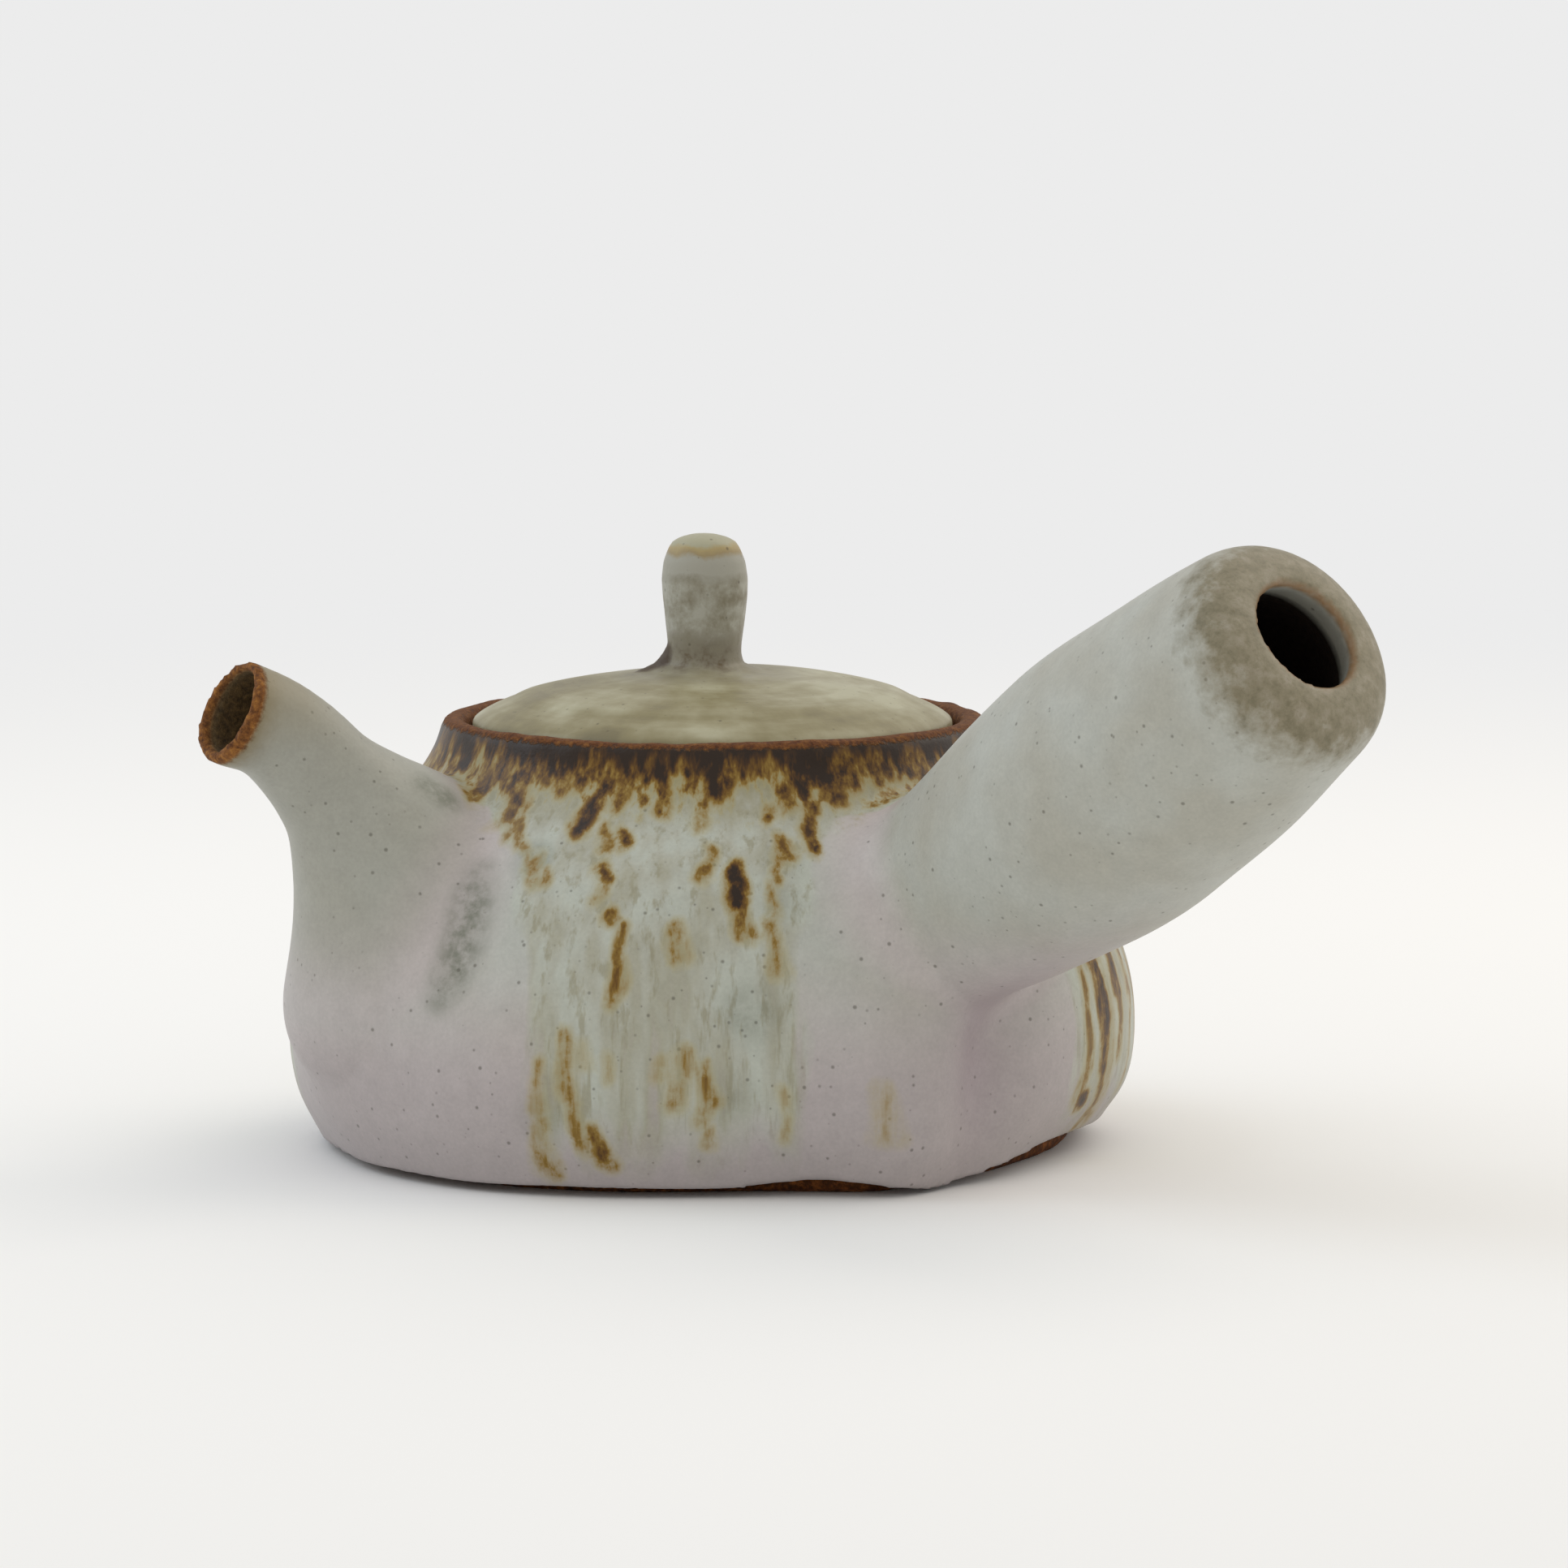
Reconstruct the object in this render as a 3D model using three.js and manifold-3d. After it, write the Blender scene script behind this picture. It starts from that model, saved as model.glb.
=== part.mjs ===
// Side-handle teapot in glazed stoneware: a squat thrown wall pressed into soft
// lobes on a bare foot slab, with a thrown spout and a hollow handle luted on at
// about a right angle, a pierced clay strainer inside over the pouring hole, and
// a domed lid with a knob, which drops into a seat inside the rim.
// Millimetres, +Z up. The origin is the middle of the flat foot. The spout
// points along -X, and the handle suits the right hand.
import * as THREE from "three";
import { mergeVertices } from "three/addons/utils/BufferGeometryUtils.js";
import Module from "manifold-3d";

const wasm = await Module();
wasm.setup();

// Driving dimensions

const rimHeight = 59; // crest of the rim above the table
const rimRadius = 37.2; // outside of the rim
const rimThickness = 3.4;
const bellyRadius = 58.2; // the pot at its widest, before it is pressed
const bellyHeight = 17;
const footRadius = 50.5;
const wallThickness = 4;
const floorThickness = 4.6;
const spoutAzimuth = THREE.MathUtils.degToRad(180);
const spoutNeckOut = 9.8; // belly out to the spout's neck, which the rest of the spout follows
const spoutNeckHeight = 60.4;
const spoutTipRadius = 7.4; // outside, at the mouth
const handleAzimuth = THREE.MathUtils.degToRad(282);
const handleLength = 54.5; // belly out to the middle of the handle's mouth
const handleTipHeight = 77.5;
const handleRadius = 18.7; // outside, where the grip is thickest
const lidRise = 6.8; // edge of the lid up to its crown
const knobHeight = 18.2;
const knobRadius = 5.8;
const lidClearance = 1.2; // lid to rim, and flange to ledge, all round
const seatGap = 0.3; // slip joint between two pieces that touch
const overrun = 6; // how far a cutting tool runs past what it cuts
const weldSize = 0.004; // vertices closer than this are one

// Facet counts

const potSegments = 54;
const wallSteps = 15;
const lidSegments = 42;
const domeSteps = 7;
const spoutSegments = 28;
const handleSegments = 32;
const flareSteps = 6;
const tubeSteps = 7;
const lipSteps = 4;
const knobSegments = 22;
const holeSegments = 8;

const up = new THREE.Vector3(0, 0, 1);
const yAxis = new THREE.Vector3(0, 1, 0);
const fullTurn = Math.PI * 2;
const quarterTurn = Math.PI / 2;

function smooth(low, high, value) {
  return THREE.MathUtils.smoothstep(value, low, high);
}

// Horizontal unit direction at an azimuth.
function outward(azimuth) {
  return new THREE.Vector3(Math.cos(azimuth), Math.sin(azimuth), 0);
}

// Point at an azimuth, a distance from the pot's axis and a height.
function polar(azimuth, reach, height) {
  return outward(azimuth).multiplyScalar(reach).addScaledVector(up, height);
}

// Angle from one azimuth to another, within half a turn either way.
function angleBetween(azimuth, other) {
  return Math.atan2(Math.sin(azimuth - other), Math.cos(azimuth - other));
}

function solid(geometry) {
  geometry.deleteAttribute("normal");
  geometry.deleteAttribute("uv");
  const merged = mergeVertices(geometry, weldSize);
  return new wasm.Manifold(
    new wasm.Mesh({
      numProp: 3,
      vertProperties: merged.attributes.position.array,
      triVerts: new Uint32Array(merged.index.array),
      tolerance: weldSize,
    }),
  );
}

function geometryOf(manifold) {
  const { vertProperties, triVerts } = manifold.getMesh();
  const geometry = new THREE.BufferGeometry();
  const places = new Float32Array(vertProperties);
  geometry.setAttribute("position", new THREE.BufferAttribute(places, 3));
  geometry.setIndex(new THREE.BufferAttribute(triVerts, 1));
  geometry.computeVertexNormals();
  return geometry;
}

// A closed profile of [radius, height] pairs turned about +Z.
function revolve(profile, segments) {
  const points = profile.map(([radius, height]) => new THREE.Vector2(radius, height));
  return new THREE.LatheGeometry(points, segments).rotateX(quarterTurn);
}

// A closed skin over rings of equal point counts, with a flat fan at each end.
function skin(rings) {
  const count = rings[0].length;
  const places = rings.flat().flatMap((point) => point.toArray());
  const last = rings.length - 1;
  const faces = [];
  for (let ring = 0; ring < last; ring++) {
    for (let side = 0; side < count; side++) {
      const a = ring * count + side;
      const b = ring * count + ((side + 1) % count);
      faces.push(a, b, b + count, a, b + count, a + count);
    }
  }
  for (const end of [0, last]) {
    const centre = new THREE.Vector3();
    rings[end].forEach((point) => centre.add(point));
    const middle = places.length / 3;
    places.push(...centre.divideScalar(count).toArray());
    for (let side = 0; side < count; side++) {
      const a = end * count + side;
      const b = end * count + ((side + 1) % count);
      faces.push(...(end === 0 ? [b, a, middle] : [a, b, middle]));
    }
  }
  const geometry = new THREE.BufferGeometry();
  geometry.setAttribute("position", new THREE.Float32BufferAttribute(places, 3));
  geometry.setIndex(faces);
  return geometry;
}

// Pot: the wall as thrown

const skirtRadius = 53.6; // lower edge of the wall, which overhangs the foot
const skirtHeight = 1.8;
const skirtTuck = 1.2; // how far the undercut rises from the skirt in to the foot
const lowBellyRadius = 57.2;
const lowBellyHeight = 8.5;
const highBellyRadius = 56.4;
const highBellyHeight = 27;
const shoulderRadius = 50.6;
const shoulderHeight = 39;
const neckFootRadius = 42.2;
const neckFootHeight = 48.6;
const neckRadius = 38.6;
const neckHeight = 54;
const lipRound = 1.2; // how far down the rim's outer edge is rounded

const wallCurve = new THREE.SplineCurve([
  new THREE.Vector2(skirtRadius, skirtHeight),
  new THREE.Vector2(lowBellyRadius, lowBellyHeight),
  new THREE.Vector2(bellyRadius, bellyHeight),
  new THREE.Vector2(highBellyRadius, highBellyHeight),
  new THREE.Vector2(shoulderRadius, shoulderHeight),
  new THREE.Vector2(neckFootRadius, neckFootHeight),
  new THREE.Vector2(neckRadius, neckHeight),
  new THREE.Vector2(rimRadius, rimHeight - lipRound),
]);
const wallLine = wallCurve.getSpacedPoints(wallSteps);

// The wall's profile moved out along its own normal, or in where grow is below 0.
function wallProfile(grow) {
  return wallLine.map((point, index) => {
    const along = wallCurve.getTangentAt(index / wallSteps);
    return [point.x + along.y * grow, point.y - along.x * grow];
  });
}

// Outside radius of the wall at a height, before pressing.
function thrownRadius(height) {
  const above = wallLine.findIndex((point) => point.y > height);
  if (above === -1) return rimRadius;
  if (above === 0) return skirtRadius;
  const low = wallLine[above - 1];
  const high = wallLine[above];
  return THREE.MathUtils.mapLinear(height, low.y, high.y, low.x, high.x);
}

// Pot: the wall pressed in and out by hand while soft. Heights and talls are
// shares of the rim's height, the rest shares of the belly's radius. Pressing
// fades out below the neck, so the lid's seat stays round.

const pressShares = [
  { azimuth: 243, heightShare: 0.3, wideShare: 0.32, tallShare: 0.5, outShare: -0.075 },
  { azimuth: 271, heightShare: 0.1, wideShare: 0.2, tallShare: 0.3, outShare: 0.055 },
  { azimuth: 303, heightShare: 0.1, wideShare: 0.26, tallShare: 0.32, outShare: -0.05 },
  { azimuth: 195, heightShare: 0.15, wideShare: 0.34, tallShare: 0.34, outShare: 0.02 },
  { azimuth: 100, heightShare: 0.3, wideShare: 0.5, tallShare: 0.45, outShare: -0.04 },
  { azimuth: 40, heightShare: 0.2, wideShare: 0.4, tallShare: 0.36, outShare: 0.02 },
];

// How far the skirt's edge hangs down, as shares of the belly's radius.
const hangShares = [
  { azimuth: 243, wideShare: 0.28, dropShare: 0.014 },
  { azimuth: 255, wideShare: 0.13, dropShare: -0.028 },
  { azimuth: 271, wideShare: 0.16, dropShare: 0.02 },
  { azimuth: 305, wideShare: 0.4, dropShare: -0.014 },
  { azimuth: 120, wideShare: 0.4, dropShare: 0.012 },
];
const hangReach = 12; // height up to which the skirt's hang still moves the wall
const floorShare = 0.55; // of the foot's radius: inside it the floor stays flat and round

function pressOut(azimuth, height) {
  const still = 1 - smooth(highBellyHeight, neckHeight, height);
  const sum = pressShares.reduce((total, push) => {
    const centre = THREE.MathUtils.degToRad(push.azimuth);
    const along = angleBetween(azimuth, centre) / push.wideShare;
    const rise = (height / rimHeight - push.heightShare) / push.tallShare;
    return total + push.outShare * Math.exp(-along * along - rise * rise);
  }, 0);
  return sum * bellyRadius * still;
}

function skirtDrop(azimuth) {
  const sum = hangShares.reduce((total, hang) => {
    const centre = THREE.MathUtils.degToRad(hang.azimuth);
    const along = angleBetween(azimuth, centre) / hang.wideShare;
    return total + hang.dropShare * Math.exp(-along * along);
  }, 0);
  return sum * bellyRadius;
}

// Moves the vertices of a turned geometry as the pressing moves the clay.
function press(geometry) {
  const place = geometry.getAttribute("position");
  const point = new THREE.Vector3();
  for (let i = 0; i < place.count; i++) {
    point.fromBufferAttribute(place, i);
    const radius = Math.hypot(point.x, point.y);
    const azimuth = Math.atan2(point.y, point.x);
    const reach = smooth(footRadius * floorShare, footRadius, radius);
    const pressed = radius + pressOut(azimuth, point.z) * reach;
    const hang = smooth(footRadius, skirtRadius, radius) *
      (1 - smooth(skirtHeight, hangReach, point.z));
    const moved = polar(azimuth, pressed, point.z - skirtDrop(azimuth) * hang);
    place.setXYZ(i, moved.x, moved.y, moved.z);
  }
  return geometry;
}

// Point on the pressed wall, moved out from it by a clearance.
function wallPoint(azimuth, height, clear) {
  return polar(azimuth, thrownRadius(height) + pressOut(azimuth, height) + clear, height);
}

// Pot: seat for the lid, hollow, floor and foot slab. The wall is luted on to the
// slab's upper face, and its skirt hangs down round the slab's edge.

const ledgeDepth = 4.4; // rim's crest down to the ledge that the lid lies on
const ledgeWidth = 5;
const ledgeThickness = 3.4;
const floorCurve = 10; // radius of the turn from the floor up to the wall
const footEase = 0.6; // small chamfer round the foot
const ledgeHeight = rimHeight - ledgeDepth;
const seatRadius = rimRadius - rimThickness;
const ledgeRadius = seatRadius - ledgeWidth;
const floorSteps = 4;

function hollowProfile(shrink) {
  const ceiling = ledgeHeight - ledgeThickness - shrink;
  const floor = floorThickness + shrink;
  const wall = wallProfile(-wallThickness - shrink)
    .filter(([, height]) => height > floor + floorCurve && height < ceiling);
  const [lowRadius, lowHeight] = wall[0];
  const turn = [];
  for (let step = 0; step < floorSteps; step++) {
    const angle = (step / floorSteps) * quarterTurn;
    turn.push([
      lowRadius - floorCurve * (1 - Math.sin(angle)),
      lowHeight - (lowHeight - floor) * Math.cos(angle),
    ]);
  }
  const [, topHeight] = wall.at(-1);
  const highRadius = thrownRadius(ceiling) - wallThickness - shrink;
  const top = ceiling > topHeight ? [[highRadius, ceiling]] : [];
  return [[0, floor], ...turn, ...wall, ...top];
}

function buildFoot() {
  const profile = [
    [0, 0],
    [footRadius - footEase, 0],
    [footRadius, footEase],
    [footRadius, floorThickness],
    [0, floorThickness],
  ];
  return solid(press(revolve(profile, potSegments)));
}

function buildPot() {
  const [, , ...inner] = hollowProfile(0);
  const [[toeRadius]] = inner;
  const profile = [
    [toeRadius, floorThickness + seatGap],
    [footRadius, floorThickness + seatGap],
    [footRadius + seatGap, floorThickness + seatGap],
    [footRadius + seatGap, skirtHeight + skirtTuck],
    ...wallProfile(0),
    [rimRadius - lipRound / 2, rimHeight - lipRound / 4],
    [rimRadius - rimThickness / 2, rimHeight],
    [seatRadius + lipRound / 2, rimHeight - lipRound / 4],
    [seatRadius, rimHeight - lipRound],
    [seatRadius, ledgeHeight],
    [ledgeRadius, ledgeHeight],
    [ledgeRadius, ledgeHeight - ledgeThickness],
    ...inner.reverse(),
    [toeRadius, floorThickness + seatGap],
  ];
  return solid(press(revolve(profile, potSegments)));
}

// The pot's outer form as one solid lump, grown by a clearance.
function buildLump(grow) {
  const profile = [
    [0, 0],
    [skirtRadius + grow, 0],
    ...wallProfile(grow),
    [rimRadius + grow, rimHeight + overrun],
    [0, rimHeight + overrun],
  ];
  return solid(press(revolve(profile, potSegments)));
}

// The pot's hollow as one solid lump, shrunk by a clearance.
function buildHollow(shrink) {
  const profile = hollowProfile(shrink);
  const [, ceiling] = profile.at(-1);
  return solid(press(revolve([...profile, [0, ceiling]], potSegments)));
}

// Tubes: rings along a line in the upright plane at an azimuth

const mouthTurnShare = 0.5; // of the line's length: from here the rings turn to face as the mouth does

function ring(centre, facing, azimuth, radius, segments) {
  const across = up.clone().cross(outward(azimuth));
  const over = new THREE.Vector3().crossVectors(facing, across);
  const points = [];
  for (let side = 0; side < segments; side++) {
    const angle = (side / segments) * fullTurn;
    const point = centre.clone().addScaledVector(across, radius * Math.cos(angle));
    points.push(point.addScaledVector(over, radius * Math.sin(angle)));
  }
  return points;
}

// Strands of clay that leave the pot's wall round a root and turn to run along
// the tube, as smoothed by the potter's finger, up to the tube's first ring.
function flare(root, azimuth, first, second, segments) {
  const strands = first.map((end, side) => {
    const angle = (side / segments) * fullTurn;
    const turned = azimuth + (root.halfWidth * Math.cos(angle)) / bellyRadius;
    const lift = Math.sin(angle) * (Math.sin(angle) > 0 ? root.above : root.below);
    const edge = wallPoint(turned, root.height + lift, root.edge);
    const reach = edge.distanceTo(end) / 3;
    const start = end.clone().sub(edge).normalize().addScaledVector(outward(turned), root.leanShare);
    const lead = end.clone().sub(second[side]).normalize();
    return {
      buried: wallPoint(turned, root.height + lift, -root.bury),
      curve: new THREE.CubicBezierCurve3(
        edge,
        edge.clone().addScaledVector(start.normalize(), reach),
        end.clone().addScaledVector(lead, reach),
        end,
      ),
    };
  });
  const rings = [strands.map((strand) => strand.buried)];
  for (let step = 0; step < flareSteps; step++) {
    rings.push(strands.map((strand) => strand.curve.getPoint(step / flareSteps)));
  }
  return rings;
}

// Outer rings of a luted tube. Its mouth faces its own way and has a round lip.
function tubeRings({ azimuth, root, line, radii, mouthFacing, lip, segments }) {
  const places = radii.map((radius, index) => new THREE.Vector2(index, radius));
  const radiusCurve = new THREE.SplineCurve(places);
  const length = line.getLength();
  const rings = [];
  const put = (share, radius) => {
    const facing = line.getTangentAt(share).lerp(mouthFacing, smooth(mouthTurnShare, 1, share));
    rings.push(ring(line.getPointAt(share), facing.normalize(), azimuth, radius, segments));
  };
  const straight = 1 - lip / length;
  for (let step = 0; step < tubeSteps; step++) {
    const share = step / tubeSteps;
    put(share * straight, radiusCurve.getPoint(share).y);
  }
  const endRadius = radii.at(-1);
  for (let step = 0; step <= lipSteps; step++) {
    const angle = (step / lipSteps) * quarterTurn;
    put(straight + (1 - straight) * Math.sin(angle), endRadius - lip * (1 - Math.cos(angle)));
  }
  return [...flare(root, azimuth, rings[0], rings[1], segments), ...rings];
}

// A cutting tool along a line, which runs past the mouth.
function boreTool({ azimuth, line, radii, mouthFacing, segments }) {
  const places = radii.map((radius, index) => new THREE.Vector2(index, radius));
  const radiusCurve = new THREE.SplineCurve(places);
  const rings = [];
  for (let step = 0; step <= tubeSteps; step++) {
    const share = step / tubeSteps;
    const facing = line.getTangentAt(share).lerp(mouthFacing, smooth(mouthTurnShare, 1, share));
    const radius = radiusCurve.getPoint(share).y;
    rings.push(ring(line.getPointAt(share), facing.normalize(), azimuth, radius, segments));
  }
  const past = line.getPointAt(1).addScaledVector(mouthFacing, overrun);
  rings.push(ring(past, mouthFacing, azimuth, radii.at(-1), segments));
  return solid(skin(rings));
}

function facingOf(azimuth, elevation) {
  return outward(azimuth).multiplyScalar(Math.cos(elevation))
    .addScaledVector(up, Math.sin(elevation));
}

// Spout and the hole behind it

const spoutNeckReach = bellyRadius + spoutNeckOut;
const spoutWaistBack = 8.6; // how far the waist is in from the neck
const spoutWaistDrop = 8.8; // and how far below it
const spoutWaistRadius = 9.8;
const spoutBendBack = 4.2;
const spoutBendDrop = 3.2;
const spoutBendRadius = 8;
const spoutNeckRadius = 7.3;
const spoutMouthRun = 6.2; // how far the mouth is out from the neck
const spoutMouthRise = 2.3; // and how far above it
const spoutMouthRadius = 4.7; // inside
const spoutWall = 2.2;
const spoutLip = 0.8;
const spoutMouthFacing = facingOf(spoutAzimuth, THREE.MathUtils.degToRad(20));
const spoutHollowRadius = 7.8; // inside, where the spout meets the wall
const spoutHollowFacing = facingOf(spoutAzimuth, THREE.MathUtils.degToRad(50));
const pourHoleHeight = 34; // hole through the wall, behind the spout
const pourHoleRadius = 12;
const spoutRoot = {
  height: 31,
  halfWidth: 19,
  above: 17,
  below: 17,
  edge: 1.2,
  bury: 3,
  leanShare: 0.1,
};

const spoutPlaces = [
  polar(spoutAzimuth, spoutNeckReach - spoutWaistBack, spoutNeckHeight - spoutWaistDrop),
  polar(spoutAzimuth, spoutNeckReach - spoutBendBack, spoutNeckHeight - spoutBendDrop),
  polar(spoutAzimuth, spoutNeckReach, spoutNeckHeight),
  polar(spoutAzimuth, spoutNeckReach + spoutMouthRun, spoutNeckHeight + spoutMouthRise),
];

const spoutTube = {
  azimuth: spoutAzimuth,
  root: spoutRoot,
  line: new THREE.CatmullRomCurve3(spoutPlaces),
  radii: [spoutWaistRadius, spoutBendRadius, spoutNeckRadius, spoutTipRadius],
  mouthFacing: spoutMouthFacing,
  lip: spoutLip,
  segments: spoutSegments,
};

// The spout's hollow, from inside the pot to past the mouth.
function buildSpoutBore() {
  const root = wallPoint(spoutAzimuth, pourHoleHeight, 0);
  return boreTool({
    azimuth: spoutAzimuth,
    line: new THREE.CatmullRomCurve3([
      root.clone().addScaledVector(spoutHollowFacing, -wallThickness - overrun),
      root,
      ...spoutPlaces,
    ]),
    radii: [
      spoutHollowRadius,
      spoutHollowRadius,
      spoutWaistRadius - spoutWall,
      spoutBendRadius - spoutWall,
      spoutNeckRadius - spoutWall,
      spoutMouthRadius,
    ],
    mouthFacing: spoutMouthFacing,
    segments: spoutSegments,
  });
}

// Square to the wall at the middle of the pouring hole, facing out of the pot.
function pourHoleFacing() {
  const below = wallPoint(spoutAzimuth, pourHoleHeight - pourHoleRadius, 0);
  const above = wallPoint(spoutAzimuth, pourHoleHeight + pourHoleRadius, 0);
  const across = up.clone().cross(outward(spoutAzimuth));
  return across.cross(above.sub(below).normalize());
}

function buildPourHole() {
  const centre = wallPoint(spoutAzimuth, pourHoleHeight, 0);
  const length = (wallThickness + overrun) * 2;
  const drill = new THREE.CylinderGeometry(
    pourHoleRadius, pourHoleRadius, length, spoutSegments);
  const turn = new THREE.Quaternion().setFromUnitVectors(yAxis, pourHoleFacing());
  return solid(drill.applyQuaternion(turn).translate(centre.x, centre.y, centre.z));
}

// Handle

const handleGripOut = 2.8; // this and the next two are measured out from the belly
const handleGripHeight = 44.4;
const handleMiddleOut = 19.8;
const handleMiddleHeight = 55.2;
const handleMiddleRadius = 18.8;
const handleOuterOut = 36.8;
const handleOuterHeight = 65.6;
const handleOuterRadius = 17.6;
const handleEndRadius = 15.1;
const handleLip = 3.4;
const handleWall = 3.8;
const handleThroatRadius = 8.4;
const handleHollowRadius = 8.5; // inside, just behind the wall's outer face
const handleMouthFacing = facingOf(handleAzimuth, THREE.MathUtils.degToRad(34));
const handleRoot = {
  height: 36,
  halfWidth: 20,
  above: 12.5,
  below: 17,
  edge: 1.2,
  bury: 3,
  leanShare: 0.1,
};

const handlePlaces = [
  polar(handleAzimuth, bellyRadius + handleGripOut, handleGripHeight),
  polar(handleAzimuth, bellyRadius + handleMiddleOut, handleMiddleHeight),
  polar(handleAzimuth, bellyRadius + handleOuterOut, handleOuterHeight),
  polar(handleAzimuth, bellyRadius + handleLength, handleTipHeight),
];

const handleTube = {
  azimuth: handleAzimuth,
  root: handleRoot,
  line: new THREE.CatmullRomCurve3(handlePlaces),
  radii: [handleRadius, handleMiddleRadius, handleOuterRadius, handleEndRadius],
  mouthFacing: handleMouthFacing,
  lip: handleLip,
  segments: handleSegments,
};

function buildHandleBore() {
  return boreTool({
    azimuth: handleAzimuth,
    line: new THREE.CatmullRomCurve3([
      wallPoint(handleAzimuth, handleRoot.height, -overrun),
      ...handlePlaces,
    ]),
    radii: [
      handleHollowRadius,
      handleRadius - handleWall,
      handleMiddleRadius - handleWall,
      handleOuterRadius - handleWall,
      handleThroatRadius,
    ],
    mouthFacing: handleMouthFacing,
    segments: handleSegments,
  });
}

// Strainer: a pierced clay dome luted over the pouring hole, inside the pot

const strainerLap = 3.6; // how far the dome's foot laps past the hole, all round
const strainerRise = 7.5;
const strainerThickness = 2.2;
const strainerInset = 3.4; // the dome springs this far in from the wall
const strainerFoot = 9; // straight part below the dome, trimmed to the wall
const strainerHoleRadius = 1.15;
const strainerPitch = 4.1; // middle of one hole to the next
const strainerRings = 3; // rings of holes round the middle one
const holesInFirstRing = 6;
const strainerSteps = 4;
const strainerSegments = 26;

function buildStrainer(hollow) {
  const radius = pourHoleRadius + strainerLap;
  const sphere = (radius * radius + strainerRise * strainerRise) / (2 * strainerRise);
  const half = Math.asin(radius / sphere);
  const arc = (size) => {
    const points = [];
    for (let step = 0; step <= strainerSteps; step++) {
      const angle = (step / strainerSteps) * half;
      points.push([size * Math.sin(angle), size * Math.cos(angle) - sphere * Math.cos(half)]);
    }
    return points;
  };
  const profile = [
    ...arc(sphere - strainerThickness),
    [radius - strainerThickness, -strainerFoot],
    [radius, -strainerFoot],
    ...arc(sphere).reverse(),
  ];
  const turn = new THREE.Quaternion().setFromUnitVectors(up, pourHoleFacing().negate());
  const centre = wallPoint(spoutAzimuth, pourHoleHeight, -wallThickness)
    .addScaledVector(pourHoleFacing(), -strainerInset);
  const place = new THREE.Matrix4().compose(centre, turn, new THREE.Vector3(1, 1, 1));
  let dome = solid(revolve(profile, strainerSegments).applyMatrix4(place)).intersect(hollow);
  const drillLength = strainerThickness + overrun;
  for (let ringIndex = 0; ringIndex <= strainerRings; ringIndex++) {
    const holes = ringIndex === 0 ? 1 : ringIndex * holesInFirstRing;
    const lean = (ringIndex * strainerPitch) / sphere;
    for (let index = 0; index < holes; index++) {
      const drill = new THREE.CylinderGeometry(
        strainerHoleRadius, strainerHoleRadius, drillLength, holeSegments);
      drill.translate(0, sphere, 0).rotateX(quarterTurn).rotateY(lean);
      drill.rotateZ((index / holes) * fullTurn);
      drill.translate(0, 0, -sphere * Math.cos(half)).applyMatrix4(place);
      dome = dome.subtract(solid(drill));
    }
  }
  return dome;
}

// Lid and knob

const lidEdge = 3; // thickness of the lid at its rim
const lidThickness = 3.6;
const flangeDepth = 8;
const flangeThickness = 3.2;
const flangeTaper = 0.8; // the flange leans in towards its end
const ventRadius = 1.7;
const ventReach = 17; // lid's axis to the vent
const ventAzimuth = THREE.MathUtils.degToRad(95);
const knobFootRadius = 6.4;
const knobFlare = 2.6; // height over which the knob's foot spreads
const knobNeckRadius = 5;
const knobCap = 3.4; // height of the rounded top
const knobFlareSteps = 3;
const knobCapSteps = 4;
const knobOffset = 1.1; // the knob sits a little off the lid's middle
const knobOffsetAzimuth = THREE.MathUtils.degToRad(150);
const lidRadius = seatRadius - lidClearance;
const lidBottom = ledgeHeight + seatGap;
const lidTop = lidBottom + lidEdge + lidRise;

// The lid's upper surface, an ellipse in section, from its edge to its crown.
function crownProfile(grow) {
  const points = [];
  for (let step = 0; step <= domeSteps; step++) {
    const angle = (step / domeSteps) * quarterTurn;
    const height = lidBottom + lidEdge + lidRise * Math.sin(angle) + grow;
    points.push([lidRadius * Math.cos(angle), height]);
  }
  points[domeSteps][0] = 0;
  return points;
}

function buildLid() {
  const flangeRadius = ledgeRadius - lidClearance;
  const inner = flangeRadius - flangeThickness;
  const vault = [];
  for (let step = 0; step < domeSteps; step++) {
    const angle = (step / domeSteps) * quarterTurn;
    const height = lidTop - lidThickness - lidRise * (1 - Math.cos(angle));
    vault.push([inner * Math.sin(angle), height]);
  }
  const profile = [
    ...vault,
    [inner, lidBottom],
    [inner, lidBottom - flangeDepth],
    [flangeRadius - flangeTaper, lidBottom - flangeDepth],
    [flangeRadius, lidBottom],
    [lidRadius, lidBottom],
    ...crownProfile(0),
  ];
  const length = (lidThickness + lidRise + overrun) * 2;
  const drill = new THREE.CylinderGeometry(ventRadius, ventRadius, length, holeSegments * 2);
  const vent = polar(ventAzimuth, ventReach, lidTop);
  drill.rotateX(quarterTurn).translate(vent.x, vent.y, vent.z);
  return solid(revolve(profile, lidSegments)).subtract(solid(drill));
}

// The knob's stem from its neck to its cap: each point's share of the way from
// the neck's radius to the cap's, then its share of the way up.
const knobStemShares = [[0, 0], [0.15, 0.3], [0.6, 0.65], [1, 1]];

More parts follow.
